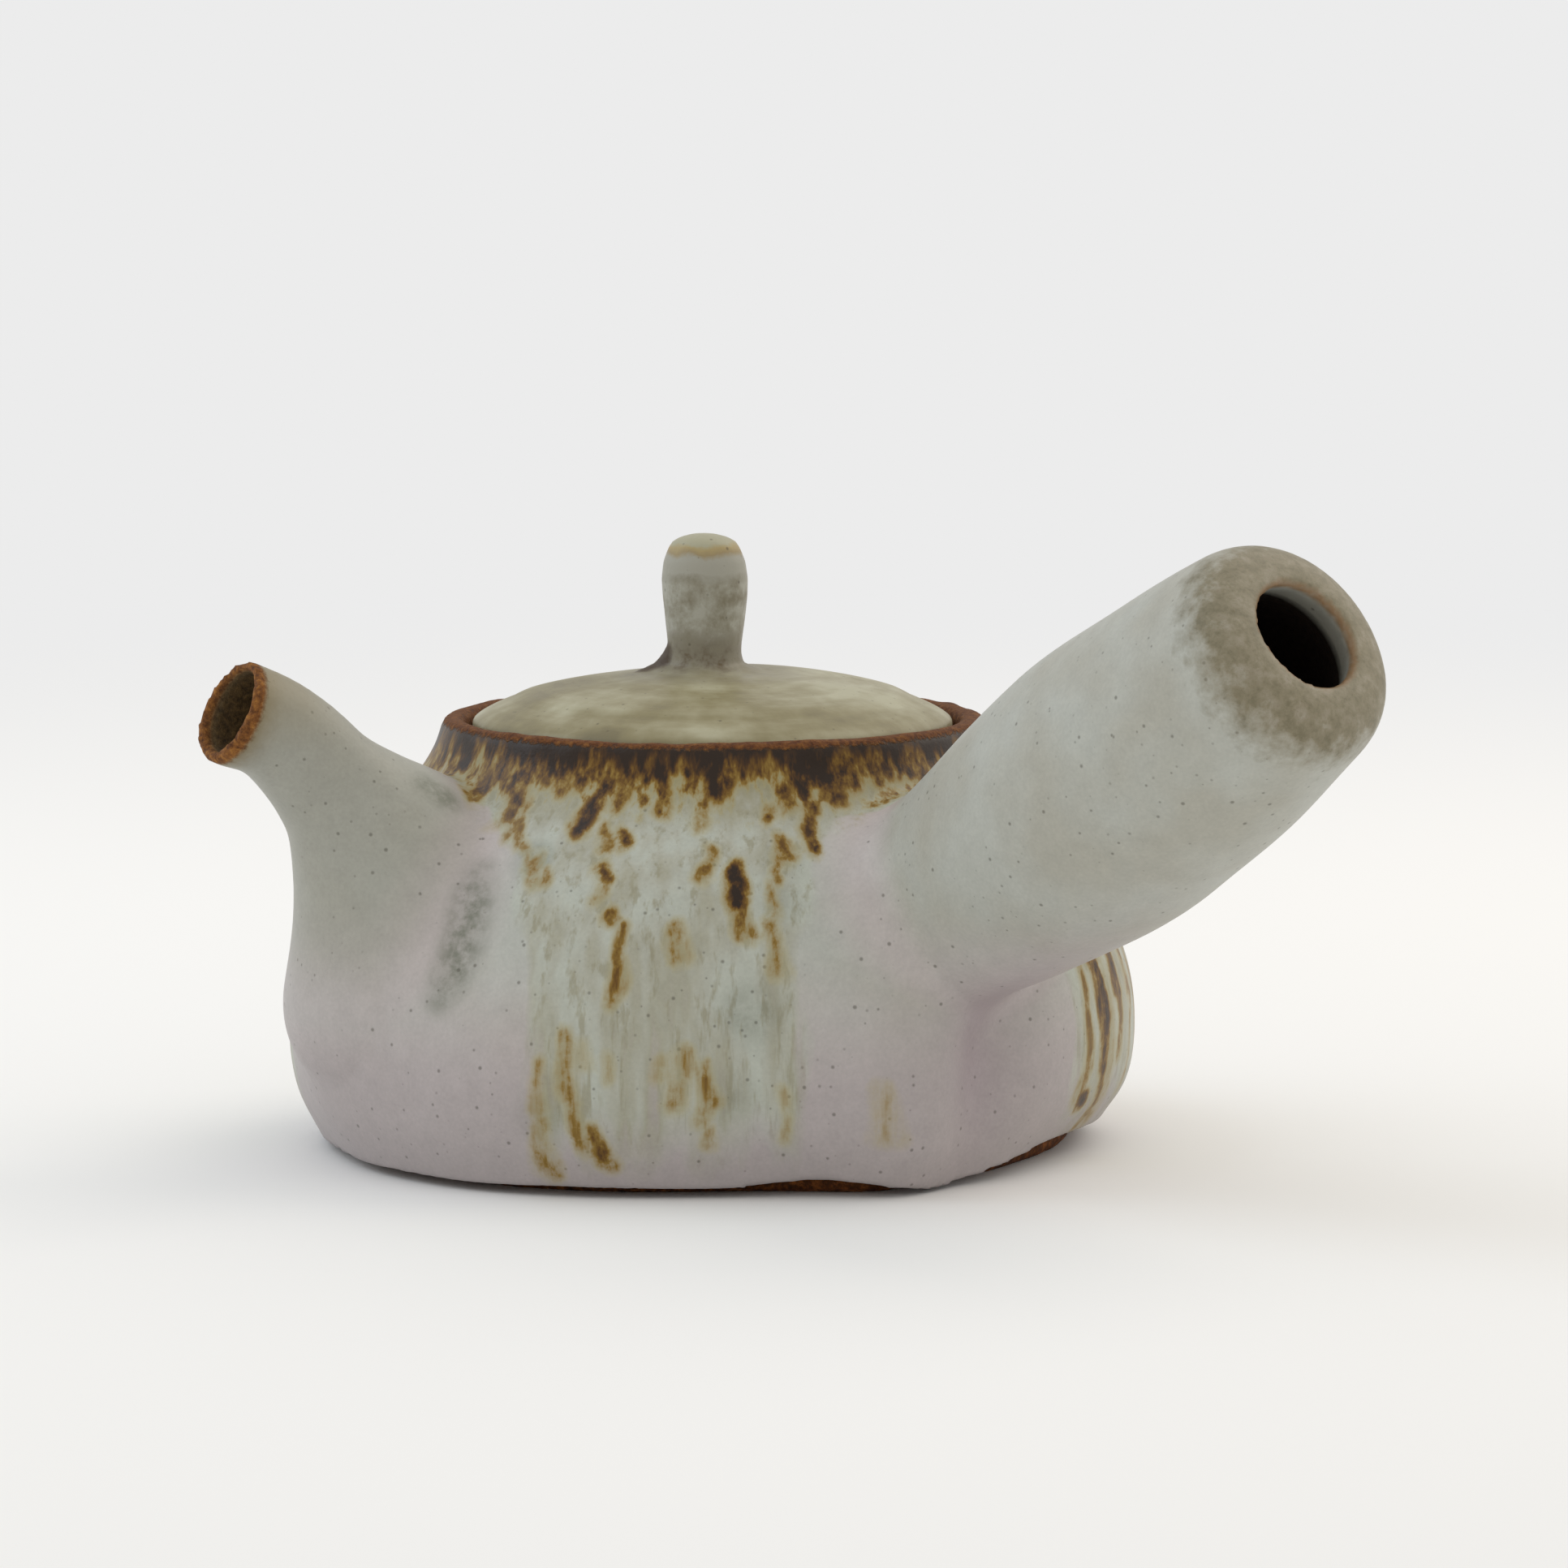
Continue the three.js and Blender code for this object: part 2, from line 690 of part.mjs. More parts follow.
function buildKnob() {
  const top = lidTop + knobHeight;
  const stemHeight = knobHeight - knobFlare - knobCap;
  const profile = [[0, lidTop - overrun], [knobFootRadius, lidTop - overrun]];
  for (let step = 0; step < knobFlareSteps; step++) {
    const angle = (step / knobFlareSteps) * quarterTurn;
    const radius = THREE.MathUtils.lerp(knobFootRadius, knobNeckRadius, Math.sin(angle));
    profile.push([radius, lidTop + knobFlare * (1 - Math.cos(angle))]);
  }
  for (const [outShare, upShare] of knobStemShares) {
    const radius = THREE.MathUtils.lerp(knobNeckRadius, knobRadius, outShare);
    profile.push([radius, lidTop + knobFlare + stemHeight * upShare]);
  }
  for (let step = 1; step < knobCapSteps; step++) {
    const angle = (step / knobCapSteps) * quarterTurn;
    const radius = knobRadius * Math.sqrt(Math.cos(angle));
    profile.push([radius, top - knobCap * (1 - Math.sin(angle))]);
  }
  profile.push([0, top]);
  const offset = polar(knobOffsetAzimuth, knobOffset, 0);
  const knob = revolve(profile, knobSegments).translate(offset.x, offset.y, offset.z);
  const lidLump = revolve([[0, 0], [lidRadius, 0], ...crownProfile(seatGap)], lidSegments);
  return solid(knob).subtract(solid(lidLump));
}

// Assembly

const glaze = new THREE.MeshStandardMaterial({ color: 0xaaaba1, roughness: 0.45, metalness: 0 });
const lidGlaze = new THREE.MeshStandardMaterial({ color: 0x8f9188, roughness: 0.5, metalness: 0 });
const clay = new THREE.MeshStandardMaterial({ color: 0x7a6453, roughness: 0.85, metalness: 0 });

const teapot = new THREE.Group();
const lidGroup = new THREE.Group();
teapot.add(lidGroup);

function add(group, name, manifold, material) {
  const mesh = new THREE.Mesh(geometryOf(manifold), material);
  mesh.name = name;
  group.add(mesh);
}

const seat = buildLump(seatGap);
const spoutBore = buildSpoutBore();
add(teapot, "foot_slab", buildFoot(), clay);
add(teapot, "pot_body", buildPot().subtract(buildPourHole()), glaze);
add(teapot, "spout", solid(skin(tubeRings(spoutTube))).subtract(seat).subtract(spoutBore), glaze);
add(teapot, "handle",
  solid(skin(tubeRings(handleTube))).subtract(seat).subtract(buildHandleBore()), glaze);
add(teapot, "strainer", buildStrainer(buildHollow(seatGap)), clay);
add(lidGroup, "lid", buildLid(), lidGlaze);
add(lidGroup, "lid_knob", buildKnob(), lidGlaze);

export default teapot;
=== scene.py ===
# A side-handle teapot in glazed stoneware, for one or two people. The pot, its spout
# and its hollow handle are thrown apart and luted together while leather hard, then
# dipped in one glaze. The lid and its knob are a second piece, with a browner glaze.
# Sizes are in millimetres unless a comment says otherwise.

import math

import bpy
import numpy as np
import openvdb
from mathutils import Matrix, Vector


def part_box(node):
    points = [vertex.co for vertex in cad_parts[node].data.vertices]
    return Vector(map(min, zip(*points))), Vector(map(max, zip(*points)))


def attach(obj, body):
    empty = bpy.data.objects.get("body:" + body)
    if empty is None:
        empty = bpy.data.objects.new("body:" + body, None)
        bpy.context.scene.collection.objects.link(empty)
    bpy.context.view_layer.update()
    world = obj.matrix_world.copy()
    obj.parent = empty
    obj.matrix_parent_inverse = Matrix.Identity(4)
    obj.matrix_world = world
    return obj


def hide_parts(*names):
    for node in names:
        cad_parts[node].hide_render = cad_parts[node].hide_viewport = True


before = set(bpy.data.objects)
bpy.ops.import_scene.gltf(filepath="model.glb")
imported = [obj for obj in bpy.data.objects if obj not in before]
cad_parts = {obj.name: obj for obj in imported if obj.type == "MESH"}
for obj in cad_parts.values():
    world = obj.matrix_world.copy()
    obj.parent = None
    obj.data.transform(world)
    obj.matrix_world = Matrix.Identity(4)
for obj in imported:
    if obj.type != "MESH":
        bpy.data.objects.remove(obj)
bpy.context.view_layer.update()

# The pot's wall
# Thrown in buff stoneware with iron in it, as a squat ring drawn in to a collar. While
# it was soft it was pressed by hand between the two joints, so it stands in soft lobes.

MM = 0.001  # metres
OVERRUN = 12  # how far a cut runs past what it cuts
SEAT_GAP = 0.3  # round the foot slab
RIM_HEIGHT = 59
CREST_RADIUS = 35.5
RIM_TURN = 57.8  # height from which both edges of the rim round over to its crest
RIM_OUTSIDE = (36.6, 58.7)  # radius and height, as are the next two, of a point on the way over
RIM_INSIDE = (34.4, 58.7)
SKIRT = (53.6, 1.2)  # the wall's lower edge, which overhangs the foot
BELLY_RADIUS = 58.2
WALL = [SKIRT, (57.2, 8.5), (BELLY_RADIUS, 17), (56.4, 27), (50.6, 39), (42.2, 48.6), (38.6, 54),
        (37.2, RIM_TURN)]
WALL_POINTS = 48
WALL_THICKNESS = 4
FOOT_RADIUS = 49
UNDERCUT = 2.6  # height to which the skirt is cut out round the foot
FLOOR = 4.6
FLOOR_CURVE = 10  # radius of the turn from the floor up to the wall
FLOOR_POINTS = 8
SEAT_RADIUS = 33.8
LEDGE = (28.8, 54.6)  # radius and height of the edge that the lid lies by
LEDGE_THICKNESS = 3.4
LEDGE_ROOT = 1  # how far in the hollow's corner under the ledge lies
CURVE_STEPS = 40  # between two given points of a curve
TABLE_STEP = 0.25  # of the table that holds the distance to an outline
FAR_OFF = 1e3  # more than any distance here

# Azimuth in degrees and width in radians, then level and spread as shares of the rim's
# height, how far out as a share of the belly's radius, and lean in degrees a millimetre.
PRESSES = [
    (243, 0.32, 0.3, 0.5, -0.075, 0), (268, 0.18, 0.1, 0.3, 0.06, 0),
    (281.5, 0.14, 0.32, 0.34, -0.075, 0.3), (303, 0.28, 0.1, 0.32, -0.03, 0),
    (195, 0.34, 0.15, 0.34, 0.02, 0), (100, 0.5, 0.3, 0.45, -0.046, 0), (40, 0.4, 0.2, 0.36, 0.02, 0),
]
# Azimuth and width as above, and how far the skirt's edge hangs down, as a share of the
# belly's radius.
HANGS = [
    (228, 0.4, 0.003), (256, 0.17, -0.024), (274, 0.17, 0.014), (305, 0.34, -0.047),
    (328, 0.25, -0.03), (120, 0.4, 0.008),
]
HANG_REACH = 12  # height up to which the hang still moves the wall
PRESSED_FROM = 0.55  # share of the foot's radius inside which the floor stays round
STILL_ABOVE = (27, 54)  # heights between which the pressing fades out


def ease(low, high, value):
    """From 0 at the first limit to 1 at the second, smoothly."""
    share = np.clip((value - low) / (high - low), 0, 1)
    return share * share * (3 - 2 * share)


def turn_from(azimuth, centre):
    """Angle in radians from an azimuth in degrees, within half a turn either way."""
    return (azimuth - np.radians(centre) + math.pi) % (2 * math.pi) - math.pi


def curve_through(points, count):
    """Evenly spaced points on a smooth curve through the given ones."""
    points = np.array(points, float)
    ends = np.vstack([2 * points[0] - points[1], points, 2 * points[-1] - points[-2]])
    share = np.linspace(0, 1, CURVE_STEPS, endpoint=False)[:, None]
    dense = []
    for a, b, c, d in zip(ends, ends[1:], ends[2:], ends[3:]):
        bend = (2 * a - 5 * b + 4 * c - d) * share**2 + (3 * b - a - 3 * c + d) * share**3
        dense.append(b + ((c - a) * share + bend) / 2)
    dense = np.vstack(dense + [points[-1:]])
    run = np.concatenate([[0], np.linalg.norm(np.diff(dense, axis=0), axis=1).cumsum()])
    places = np.linspace(0, run[-1], count)
    return np.stack([np.interp(places, run, column) for column in dense.T], 1)


def turned(outline):
    """Signed distance to a closed outline of (radius, height), as a function of both."""
    outline = np.array(outline, float)
    low = outline.min(0) - 1
    size = np.ceil((outline.max(0) + 1 - low) / TABLE_STEP).astype(int) + 1
    radius = low[0] + TABLE_STEP * np.arange(size[0])[:, None]
    height = low[1] + TABLE_STEP * np.arange(size[1])[None, :]
    nearest = np.full(size, FAR_OFF)
    inside = np.zeros(size, bool)
    for (r0, z0), (r1, z1) in zip(outline, np.roll(outline, -1, 0)):
        out, up = r1 - r0, z1 - z0
        along = np.clip(((radius - r0) * out + (height - z0) * up) / (out**2 + up**2), 0, 1)
        nearest = np.minimum(nearest, np.hypot(radius - r0 - along * out, height - z0 - along * up))
        if up:
            inside ^= ((z0 > height) != (z1 > height)) & (radius < r0 + out * (height - z0) / up)
    table = np.where(inside, -nearest, nearest).astype(np.float32)

    def distance(radius, height):
        column = np.clip((radius - low[0]) / TABLE_STEP, 0, size[0] - 1.001)
        row = np.clip((height - low[1]) / TABLE_STEP, 0, size[1] - 1.001)
        i, j = column.astype(int), row.astype(int)
        u, v = column - i, row - j
        near = table[i, j] * (1 - u) + table[i + 1, j] * u
        far = table[i, j + 1] * (1 - u) + table[i + 1, j + 1] * u
        return near * (1 - v) + far * v

    return distance


def pressed_out(azimuth, z):
    """How far out the wall was pressed."""
    out = 0
    for centre, wide, level, tall, push, lean in PRESSES:
        off_centre = turn_from(azimuth, centre) - np.radians(lean) * (z - level * RIM_HEIGHT)
        up = (z / RIM_HEIGHT - level) / tall
        out = out + push * np.exp(-((off_centre / wide) ** 2) - up**2)
    return BELLY_RADIUS * out * (1 - ease(*STILL_ABOVE, z))


def unpressed(x, y, z):
    """Radius and height that a point of the pressed pot had when it was thrown."""
    radius = np.hypot(x, y)
    azimuth = np.arctan2(y, x)
    drop = 0
    for centre, wide, fall in HANGS:
        drop = drop + BELLY_RADIUS * fall * np.exp(-((turn_from(azimuth, centre) / wide) ** 2))
    out = pressed_out(azimuth, z) * ease(FOOT_RADIUS * PRESSED_FROM, FOOT_RADIUS, radius)
    hang = ease(FOOT_RADIUS, SKIRT[0], radius - out) * (1 - ease(SKIRT[1], HANG_REACH, z))
    return radius - out, z + drop * hang


wall = curve_through(WALL, WALL_POINTS)
along_wall = np.gradient(wall, axis=0)
along_wall /= np.linalg.norm(along_wall, axis=1)[:, None]
inner_wall = wall + WALL_THICKNESS * np.stack([-along_wall[:, 1], along_wall[:, 0]], 1)
ceiling = LEDGE[1] - LEDGE_THICKNESS
inner_wall = inner_wall[(inner_wall[:, 1] > FLOOR + FLOOR_CURVE) & (inner_wall[:, 1] < ceiling)]
turn = np.linspace(0, math.pi / 2, FLOOR_POINTS, endpoint=False)
floor_turn = np.stack([
    inner_wall[0, 0] - FLOOR_CURVE * (1 - np.sin(turn)),
    inner_wall[0, 1] - (inner_wall[0, 1] - FLOOR) * np.cos(turn),
], 1)
wall_form = turned([
    (-OVERRUN, 0), (FOOT_RADIUS, 0), (FOOT_RADIUS, UNDERCUT), *wall, RIM_OUTSIDE,
    (CREST_RADIUS, RIM_HEIGHT), (-OVERRUN, RIM_HEIGHT),
])
hollow_form = turned([
    (-OVERRUN, FLOOR), *floor_turn, *inner_wall, (inner_wall[-1, 0] - LEDGE_ROOT, ceiling),
    (LEDGE[0], ceiling), LEDGE, (SEAT_RADIUS, LEDGE[1]), (SEAT_RADIUS, RIM_TURN), RIM_INSIDE,
    (CREST_RADIUS, RIM_HEIGHT),
    (CREST_RADIUS, RIM_HEIGHT + OVERRUN), (-OVERRUN, RIM_HEIGHT + OVERRUN),
])
foot_room = turned([
    (-OVERRUN, -OVERRUN), (FOOT_RADIUS + SEAT_GAP, -OVERRUN),
    (FOOT_RADIUS + SEAT_GAP, FLOOR + SEAT_GAP), (-OVERRUN, FLOOR + SEAT_GAP),
])

# The spout and the hollow handle
# Two thrown tubes, cut to the pot's wall and luted on with slip. A wet finger smoothed
# each joint, so wall and tube run into one another, and one glaze covers all three.

SPOUT = math.radians(180)  # azimuth
SPOUT_RISE = math.radians(23)  # of the way that its mouth faces
# A line is a row of reach from the pot's axis, height and radius, from inside the pot to the
# mouth: first the outside, then the bore.
SPOUT_MOUTH = (73.9, 63.4, 7.2)
SPOUT_LINE = [
    (40.3, 26, 20.7), (46.5, 37.5, 15.8), (53.5, 46.9, 10.4), (58.4, 52.3, 8.1), (63.5, 57.8, 7.3),
    (68, 61.1, 7), SPOUT_MOUTH,
]
SPOUT_BORE = [
    (46.5, 24, 7.8), (50, 38, 7.8), (53.5, 47.1, 7), (58.4, 52.3, 5.1), (63.5, 57.8, 4.8),
    (68, 61.1, 5.1), (*SPOUT_MOUTH[:2], 5.8),
]
SPOUT_LIP = 1  # rounding of its lip
HANDLE = math.radians(282)
HANDLE_RISE = math.radians(34)
HANDLE_MOUTH = (113.4, 77.9, 15.3)
HANDLE_LINE = [
    (41, 33.5, 15), (51.1, 39.6, 14.9), (60.8, 44.9, 16.4), (69.8, 50.1, 17.9), (76, 53.9, 18.5),
    (82, 57.7, 18.5), (95, 65.7, 17.7), HANDLE_MOUTH,
]
HANDLE_BORE = [
    (47, 36.9, 8.5), (52.5, 40.5, 8.5), (60.8, 45.5, 11.7), (69.8, 50.9, 13.1), (80, 56.6, 14.5),
    (95, 65.7, 13.7), (106, 72.9, 9.6), (*HANDLE_MOUTH[:2], 7.1),
]
HANDLE_LIP = 7
POUR_HOLE = (54, 34, 12)  # reach, height and radius of the hole that the strainer stands over
POUR_HOLE_LEAN = math.radians(41)
LOW_VALLEY = 8  # how far the spout's smoothed joint reaches low down
HANDLE_VALLEYS = (9, 3)  # on the handle's left, smoothed well out, and on its right
HIGH_VALLEY = 2  # by the collar, on both
SPOUT_COLLAR = (36, 50)  # heights between which the low valley turns into the high one
HANDLE_COLLAR = (44, 54)
HANDLE_SIDES = (-0.2, 0.15)  # radians round from its middle, where left turns into right
TUBE_STEP = 1.5  # between the balls that make up a tube
CUT_EDGE = 1.2  # rounding of the hollow's edges
FOOT_CUT_EDGE = 0.3
SWELL = 0.16  # how far the thrown surface swells in and out
SWELL_WIDTH = 13
GRIT = 0.2  # how far grit stands proud on a bare edge
GRIT_WIDTH = 2.4
WAVES = 7  # that add up to a hand-made surface
WAVE_PEAK = 2.6  # which their sum seldom passes
# Where the rim's and the spout's grit starts and where it is full: heights, radii inside and
# outside, back from the mouth and off the outside. Then its share of the full grit.
RIM_GRIT = ((56.5, 58.5), (32, 33.5), (41, 39), 0.5)
LIP_GRIT = ((-2.2, -0.6), (3, 1), 0.35)
POT_VOXEL = 0.8
SKIN_BAND = 4.0  # voxels either side of a surface that its field keeps
SKIN_MARGIN = 3  # voxels round a piece's box


def tube(line, azimuth, rise, x, y, z):
    """Distance to a round tube along a line of (reach, height, radius), run on past its mouth."""
    reach, height, radius = line[-1]
    past = (reach + OVERRUN * math.cos(rise), height + OVERRUN * math.sin(rise), radius)
    line = np.array([*line, past])
    count = int(np.linalg.norm(np.diff(line[:, :2], axis=0), axis=1).sum() / TUBE_STEP)
    nearest = np.float32(FAR_OFF)
    for reach, height, radius in curve_through(line, count).astype(np.float32):
        across = (x - reach * math.cos(azimuth)) ** 2 + (y - reach * math.sin(azimuth)) ** 2
        nearest = np.minimum(nearest, np.sqrt(across + (z - height) ** 2) - radius)
    return nearest


def past_mouth(mouth, azimuth, rise, x, y, z):
    """How far a point lies out past a tube's mouth, square to it."""
    out = x * math.cos(azimuth) + y * math.sin(azimuth) - mouth[0]
    return out * math.cos(rise) + (z - mouth[1]) * math.sin(rise)


def join(a, b, reach):
    """Two shapes as one, with a smooth valley of that reach between them."""
    share = np.clip(0.5 + (b - a) / (2 * reach), 0, 1)
    return b + (a - b) * share - reach * share * (1 - share)


def cut(a, b, edge):
    """The first shape less the second, with its edges rounded."""
    return -join(-a, b, edge)


def uneven(x, y, z, width, seed):
    """Smooth unevenness of a hand-made surface, from about -1 to 1, with swells of that width."""
    draws = np.random.default_rng(seed)
    total = 0
    for _ in range(WAVES):
        way = draws.normal(size=3)
        way = (way * math.pi / width * draws.uniform(0.7, 1.3) / np.linalg.norm(way)).astype(np.float32)
        total = total + np.sin(way[0] * x + way[1] * y + way[2] * z + np.float32(draws.uniform(0, 6.28)))
    return total / WAVE_PEAK


def pot_forms(x, y, z):
    """Distances to the forms that the glazed pot is made of."""
    thrown = unpressed(x, y, z)
    forms = {
        "wall": wall_form(*thrown),
        "hollow": hollow_form(*thrown),
        "foot": foot_room(*thrown),
        "past_spout": past_mouth(SPOUT_MOUTH, SPOUT, SPOUT_RISE, x, y, z),
        "past_handle": past_mouth(HANDLE_MOUTH, HANDLE, HANDLE_RISE, x, y, z),
        "spout_bore": tube(SPOUT_BORE, SPOUT, SPOUT_RISE, x, y, z),
        "handle_bore": tube(HANDLE_BORE, HANDLE, HANDLE_RISE, x, y, z),
    }
    spout = tube(SPOUT_LINE, SPOUT, SPOUT_RISE, x, y, z)
    handle = tube(HANDLE_LINE, HANDLE, HANDLE_RISE, x, y, z)
    forms["spout"] = cut(spout, -forms["past_spout"], SPOUT_LIP)
    forms["handle"] = cut(handle, -forms["past_handle"], HANDLE_LIP)
    return forms


def pot_distance(x, y, z):
    """Distance to the wall, the spout and the handle in one."""
    forms = pot_forms(x, y, z)
    rising = ease(*SPOUT_COLLAR, z)
    body = join(forms["wall"], forms["spout"], LOW_VALLEY + (HIGH_VALLEY - LOW_VALLEY) * rising)
    side = ease(*HANDLE_SIDES, turn_from(np.arctan2(y, x), math.degrees(HANDLE)))
    valley = HANDLE_VALLEYS[0] + (HANDLE_VALLEYS[1] - HANDLE_VALLEYS[0]) * side
    body = join(body, forms["handle"], valley + (HIGH_VALLEY - valley) * ease(*HANDLE_COLLAR, z))
    radius = np.hypot(x, y)
    heights, inner, outer, rim_share = RIM_GRIT
    on_rim = ease(*heights, z) * ease(*inner, radius) * ease(*outer, radius)
    back, off, lip_share = LIP_GRIT
    on_lip = ease(*back, forms["past_spout"]) * ease(*off, forms["spout"])
    body = body + SWELL * uneven(x, y, z, SWELL_WIDTH, seed=4)
    gritty = np.maximum(rim_share * on_rim, lip_share * on_lip)
    body = body + GRIT * gritty * uneven(x, y, z, GRIT_WIDTH, seed=9)
    reach, height, width = POUR_HOLE
    along = (-x - reach) * math.cos(POUR_HOLE_LEAN) + (z - height) * math.sin(POUR_HOLE_LEAN)
    across = (x + reach) * math.sin(POUR_HOLE_LEAN) + (z - height) * math.cos(POUR_HOLE_LEAN)
    hole = np.maximum(np.hypot(y, across) - width, np.abs(along) - OVERRUN)
    hole = np.maximum(hole, forms["wall"])
    hollow = np.minimum(forms["hollow"], np.minimum(hole, forms["spout_bore"]))
    hollow = np.minimum(hollow, np.maximum(forms["handle_bore"], -forms["wall"]))
    return cut(cut(body, hollow, CUT_EDGE), forms["foot"], FOOT_CUT_EDGE)


def skin(name, distance, box, voxel):
    """A closed mesh in metres of the surface where the distance is nought, and its points."""
    margin = SKIN_MARGIN * voxel
    axes = [np.arange(low / MM - margin, high / MM + margin, voxel, dtype=np.float32)
            for low, high in zip(*box)]
    field = distance(*np.meshgrid(*axes, indexing="ij", sparse=True))
    grid = openvdb.FloatGrid(SKIN_BAND)
    band = np.clip(field / voxel, -SKIN_BAND, SKIN_BAND)
    grid.copyFromArray(np.ascontiguousarray(band, dtype=np.float32))
    points, quads = grid.convertToQuads()
    points = points * voxel + [axis[0] for axis in axes]
    mesh = bpy.data.meshes.new(name)
    mesh.from_pydata((points * MM).tolist(), [], quads[:, ::-1].tolist())
    mesh.shade_smooth()
    piece = bpy.data.objects.new(name, mesh)
    bpy.context.scene.collection.objects.link(piece)
    return piece, points.T


def mark(piece, name, values):
    """Gives each point of a piece a value that its material reads."""
    values = np.ascontiguousarray(values, dtype=np.float32)
    piece.data.attributes.new(name, "FLOAT", "POINT").data.foreach_set("value", values)


def box_round(*nodes):
    """Lowest and highest corners of the box round some nodes, in metres."""
    corners = zip(*[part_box(node) for node in nodes])
    return [[pick(axis) for axis in zip(*ends)] for pick, ends in zip((min, max), corners)]


pot_box = box_round("pot_body", "spout", "handle")
pot, pot_points = skin("glazed_pot", pot_distance, pot_box, POT_VOXEL)
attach(pot, "pot")
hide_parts("pot_body", "spout", "handle")

# Where the iron ran and the glaze smoked
# Iron in the clay bleeds through thin glaze and runs down from the rim. These are the
# runs, spots and smoky patches that the kiln left, each at its place on the pot. The
# smoky streak in the crease by the spout is partly painted shade.

# Azimuth and height of both ends, half width and strength.
RUNS = [
    (188.5, 57.5, 190.5, 51.5, 1.9, 0.85), (196.6, 57, 201, 49.5, 2.1, 0.8),
    (202, 52, 203, 46.5, 0.9, 0.45), (206, 58, 206, 54, 0.8, 0.85), (209, 57, 209, 52.5, 0.7, 0.8),
    (219.7, 56, 216.1, 47.6, 0.9, 0.85), (222.4, 56, 221.9, 51, 0.9, 0.7),
    (226, 58, 226, 55, 1.2, 0.8), (230.1, 58, 230.9, 50.6, 0.9, 0.85), (235, 58, 236.3, 55, 1, 0.85),
    (240.5, 58, 240.8, 53, 1.5, 1), (238.5, 53, 238.6, 48.6, 0.8, 0.4),
    (246, 58, 246, 55.5, 0.8, 0.7), (251, 57.5, 251, 55.2, 0.5, 0.6),
    (253.4, 52.5, 254.1, 50.7, 0.7, 0.7), (260.4, 57, 258.6, 51, 1.1, 1),
    (258.6, 51, 257.1, 45.4, 0.6, 0.75), (264.4, 57.5, 264.9, 52, 0.9, 0.95),
    (269.2, 56, 268.9, 52.9, 0.7, 0.8), (273.9, 57.5, 274.4, 53.2, 0.7, 0.85),
    (280, 57.5, 280, 54, 0.6, 0.8), (287.6, 57, 287.3, 52.3, 0.8, 0.9),
    (192.5, 57.5, 193.2, 53, 0.9, 0.9), (200, 57.5, 200.6, 53.3, 0.9, 0.9),
    (204, 57.5, 204.2, 54.6, 0.7, 0.85), (213, 57.5, 213, 53.5, 0.9, 0.85),
    (216.5, 57.5, 216.4, 54.5, 0.7, 0.85), (243.6, 57, 243.8, 54, 0.9, 0.9),
    (266.8, 57, 267, 53.8, 0.8, 0.9), (277, 57.5, 277, 54.3, 0.7, 0.85),
    (284, 57.5, 284.2, 53.8, 0.9, 0.9), (291, 57.5, 291.2, 53, 1.1, 0.95),
    (295, 57.5, 295.5, 53.6, 0.8, 0.9),
]
SPOTS = [
    (221.1, 47.8, 221.9, 45.8, 0.8, 0.55), (225.1, 47.1, 225.3, 46.3, 0.5, 0.75),
    (222.8, 43.1, 223.1, 42.2, 0.5, 0.7), (222.7, 41.7, 222.8, 39.7, 0.8, 0.4),
    (225.1, 37.7, 225.3, 37, 0.45, 0.6), (227.1, 35.9, 226.6, 26.6, 0.9, 0.56),
    (210.5, 44, 211.2, 41, 0.7, 0.45), (213.3, 42, 213.5, 41.5, 0.35, 0.6),
    (239.8, 45.3, 238.8, 42.9, 0.8, 0.55), (244.4, 43.2, 244.4, 39.2, 1, 1.1),
    (244.7, 38.8, 244.8, 35.3, 1.2, 0.75), (250.7, 50.1, 250.6, 49.6, 0.4, 0.7),
    (252.8, 46.7, 252.7, 44.6, 0.8, 0.6), (249, 40.8, 250.4, 38.2, 1.1, 0.42),
    (249, 36.2, 250.4, 30.6, 1.1, 0.5), (251, 42.9, 250.9, 42.2, 0.45, 0.6),
    (235.4, 36, 235.8, 32.4, 1.1, 0.5), (220.3, 22.3, 220.9, 14.3, 0.6, 0.54),
    (221.8, 12.8, 222.5, 7.6, 1.3, 0.52), (216.4, 18.3, 217.1, 12.2, 0.9, 0.45),
    (217.3, 10.9, 216.9, 3.6, 1.1, 0.45), (224.6, 9.7, 225.6, 5, 0.7, 0.66),
    (225.5, 19.3, 225.8, 16.6, 0.7, 0.32), (222.4, 21.2, 222.7, 18.2, 0.6, 0.3),
    (233.6, 19, 233.6, 17, 0.8, 0.35), (236.5, 20.1, 235.5, 13.3, 1.1, 0.45),
    (239.3, 18.1, 240.3, 13.9, 0.8, 0.55), (240.3, 13.9, 238.8, 11.2, 0.8, 0.45),
    (240.3, 9.4, 240.4, 7.7, 0.5, 0.4), (250, 15, 250.3, 9, 0.8, 0.35), (263, 15, 263.5, 9, 2, 0.3),
    (302.5, 34, 303.4, 14, 0.7, 0.5), (303.4, 14, 301.8, 9.5, 0.8, 0.5),
    (303.9, 9.6, 304, 8.6, 0.6, 0.8), (305.5, 33, 308.2, 20, 1.2, 0.95),
    (308.2, 20, 309.2, 13, 1.1, 0.8), (309.2, 13, 309.2, 5, 1, 0.55), (311, 36, 313.6, 23, 0.9, 0.8),
    (313.6, 23, 313.8, 14, 0.8, 0.5), (318, 35, 319.6, 22, 0.8, 0.6), (319.6, 22, 319, 9, 0.8, 0.4),
    (325, 30, 326, 12, 0.9, 0.6), (308, 40, 311, 6, 3, 0.36), (202.5, 49.5, 206, 46, 0.8, 0.5),
    (206, 46, 210, 43, 0.7, 0.4),
]
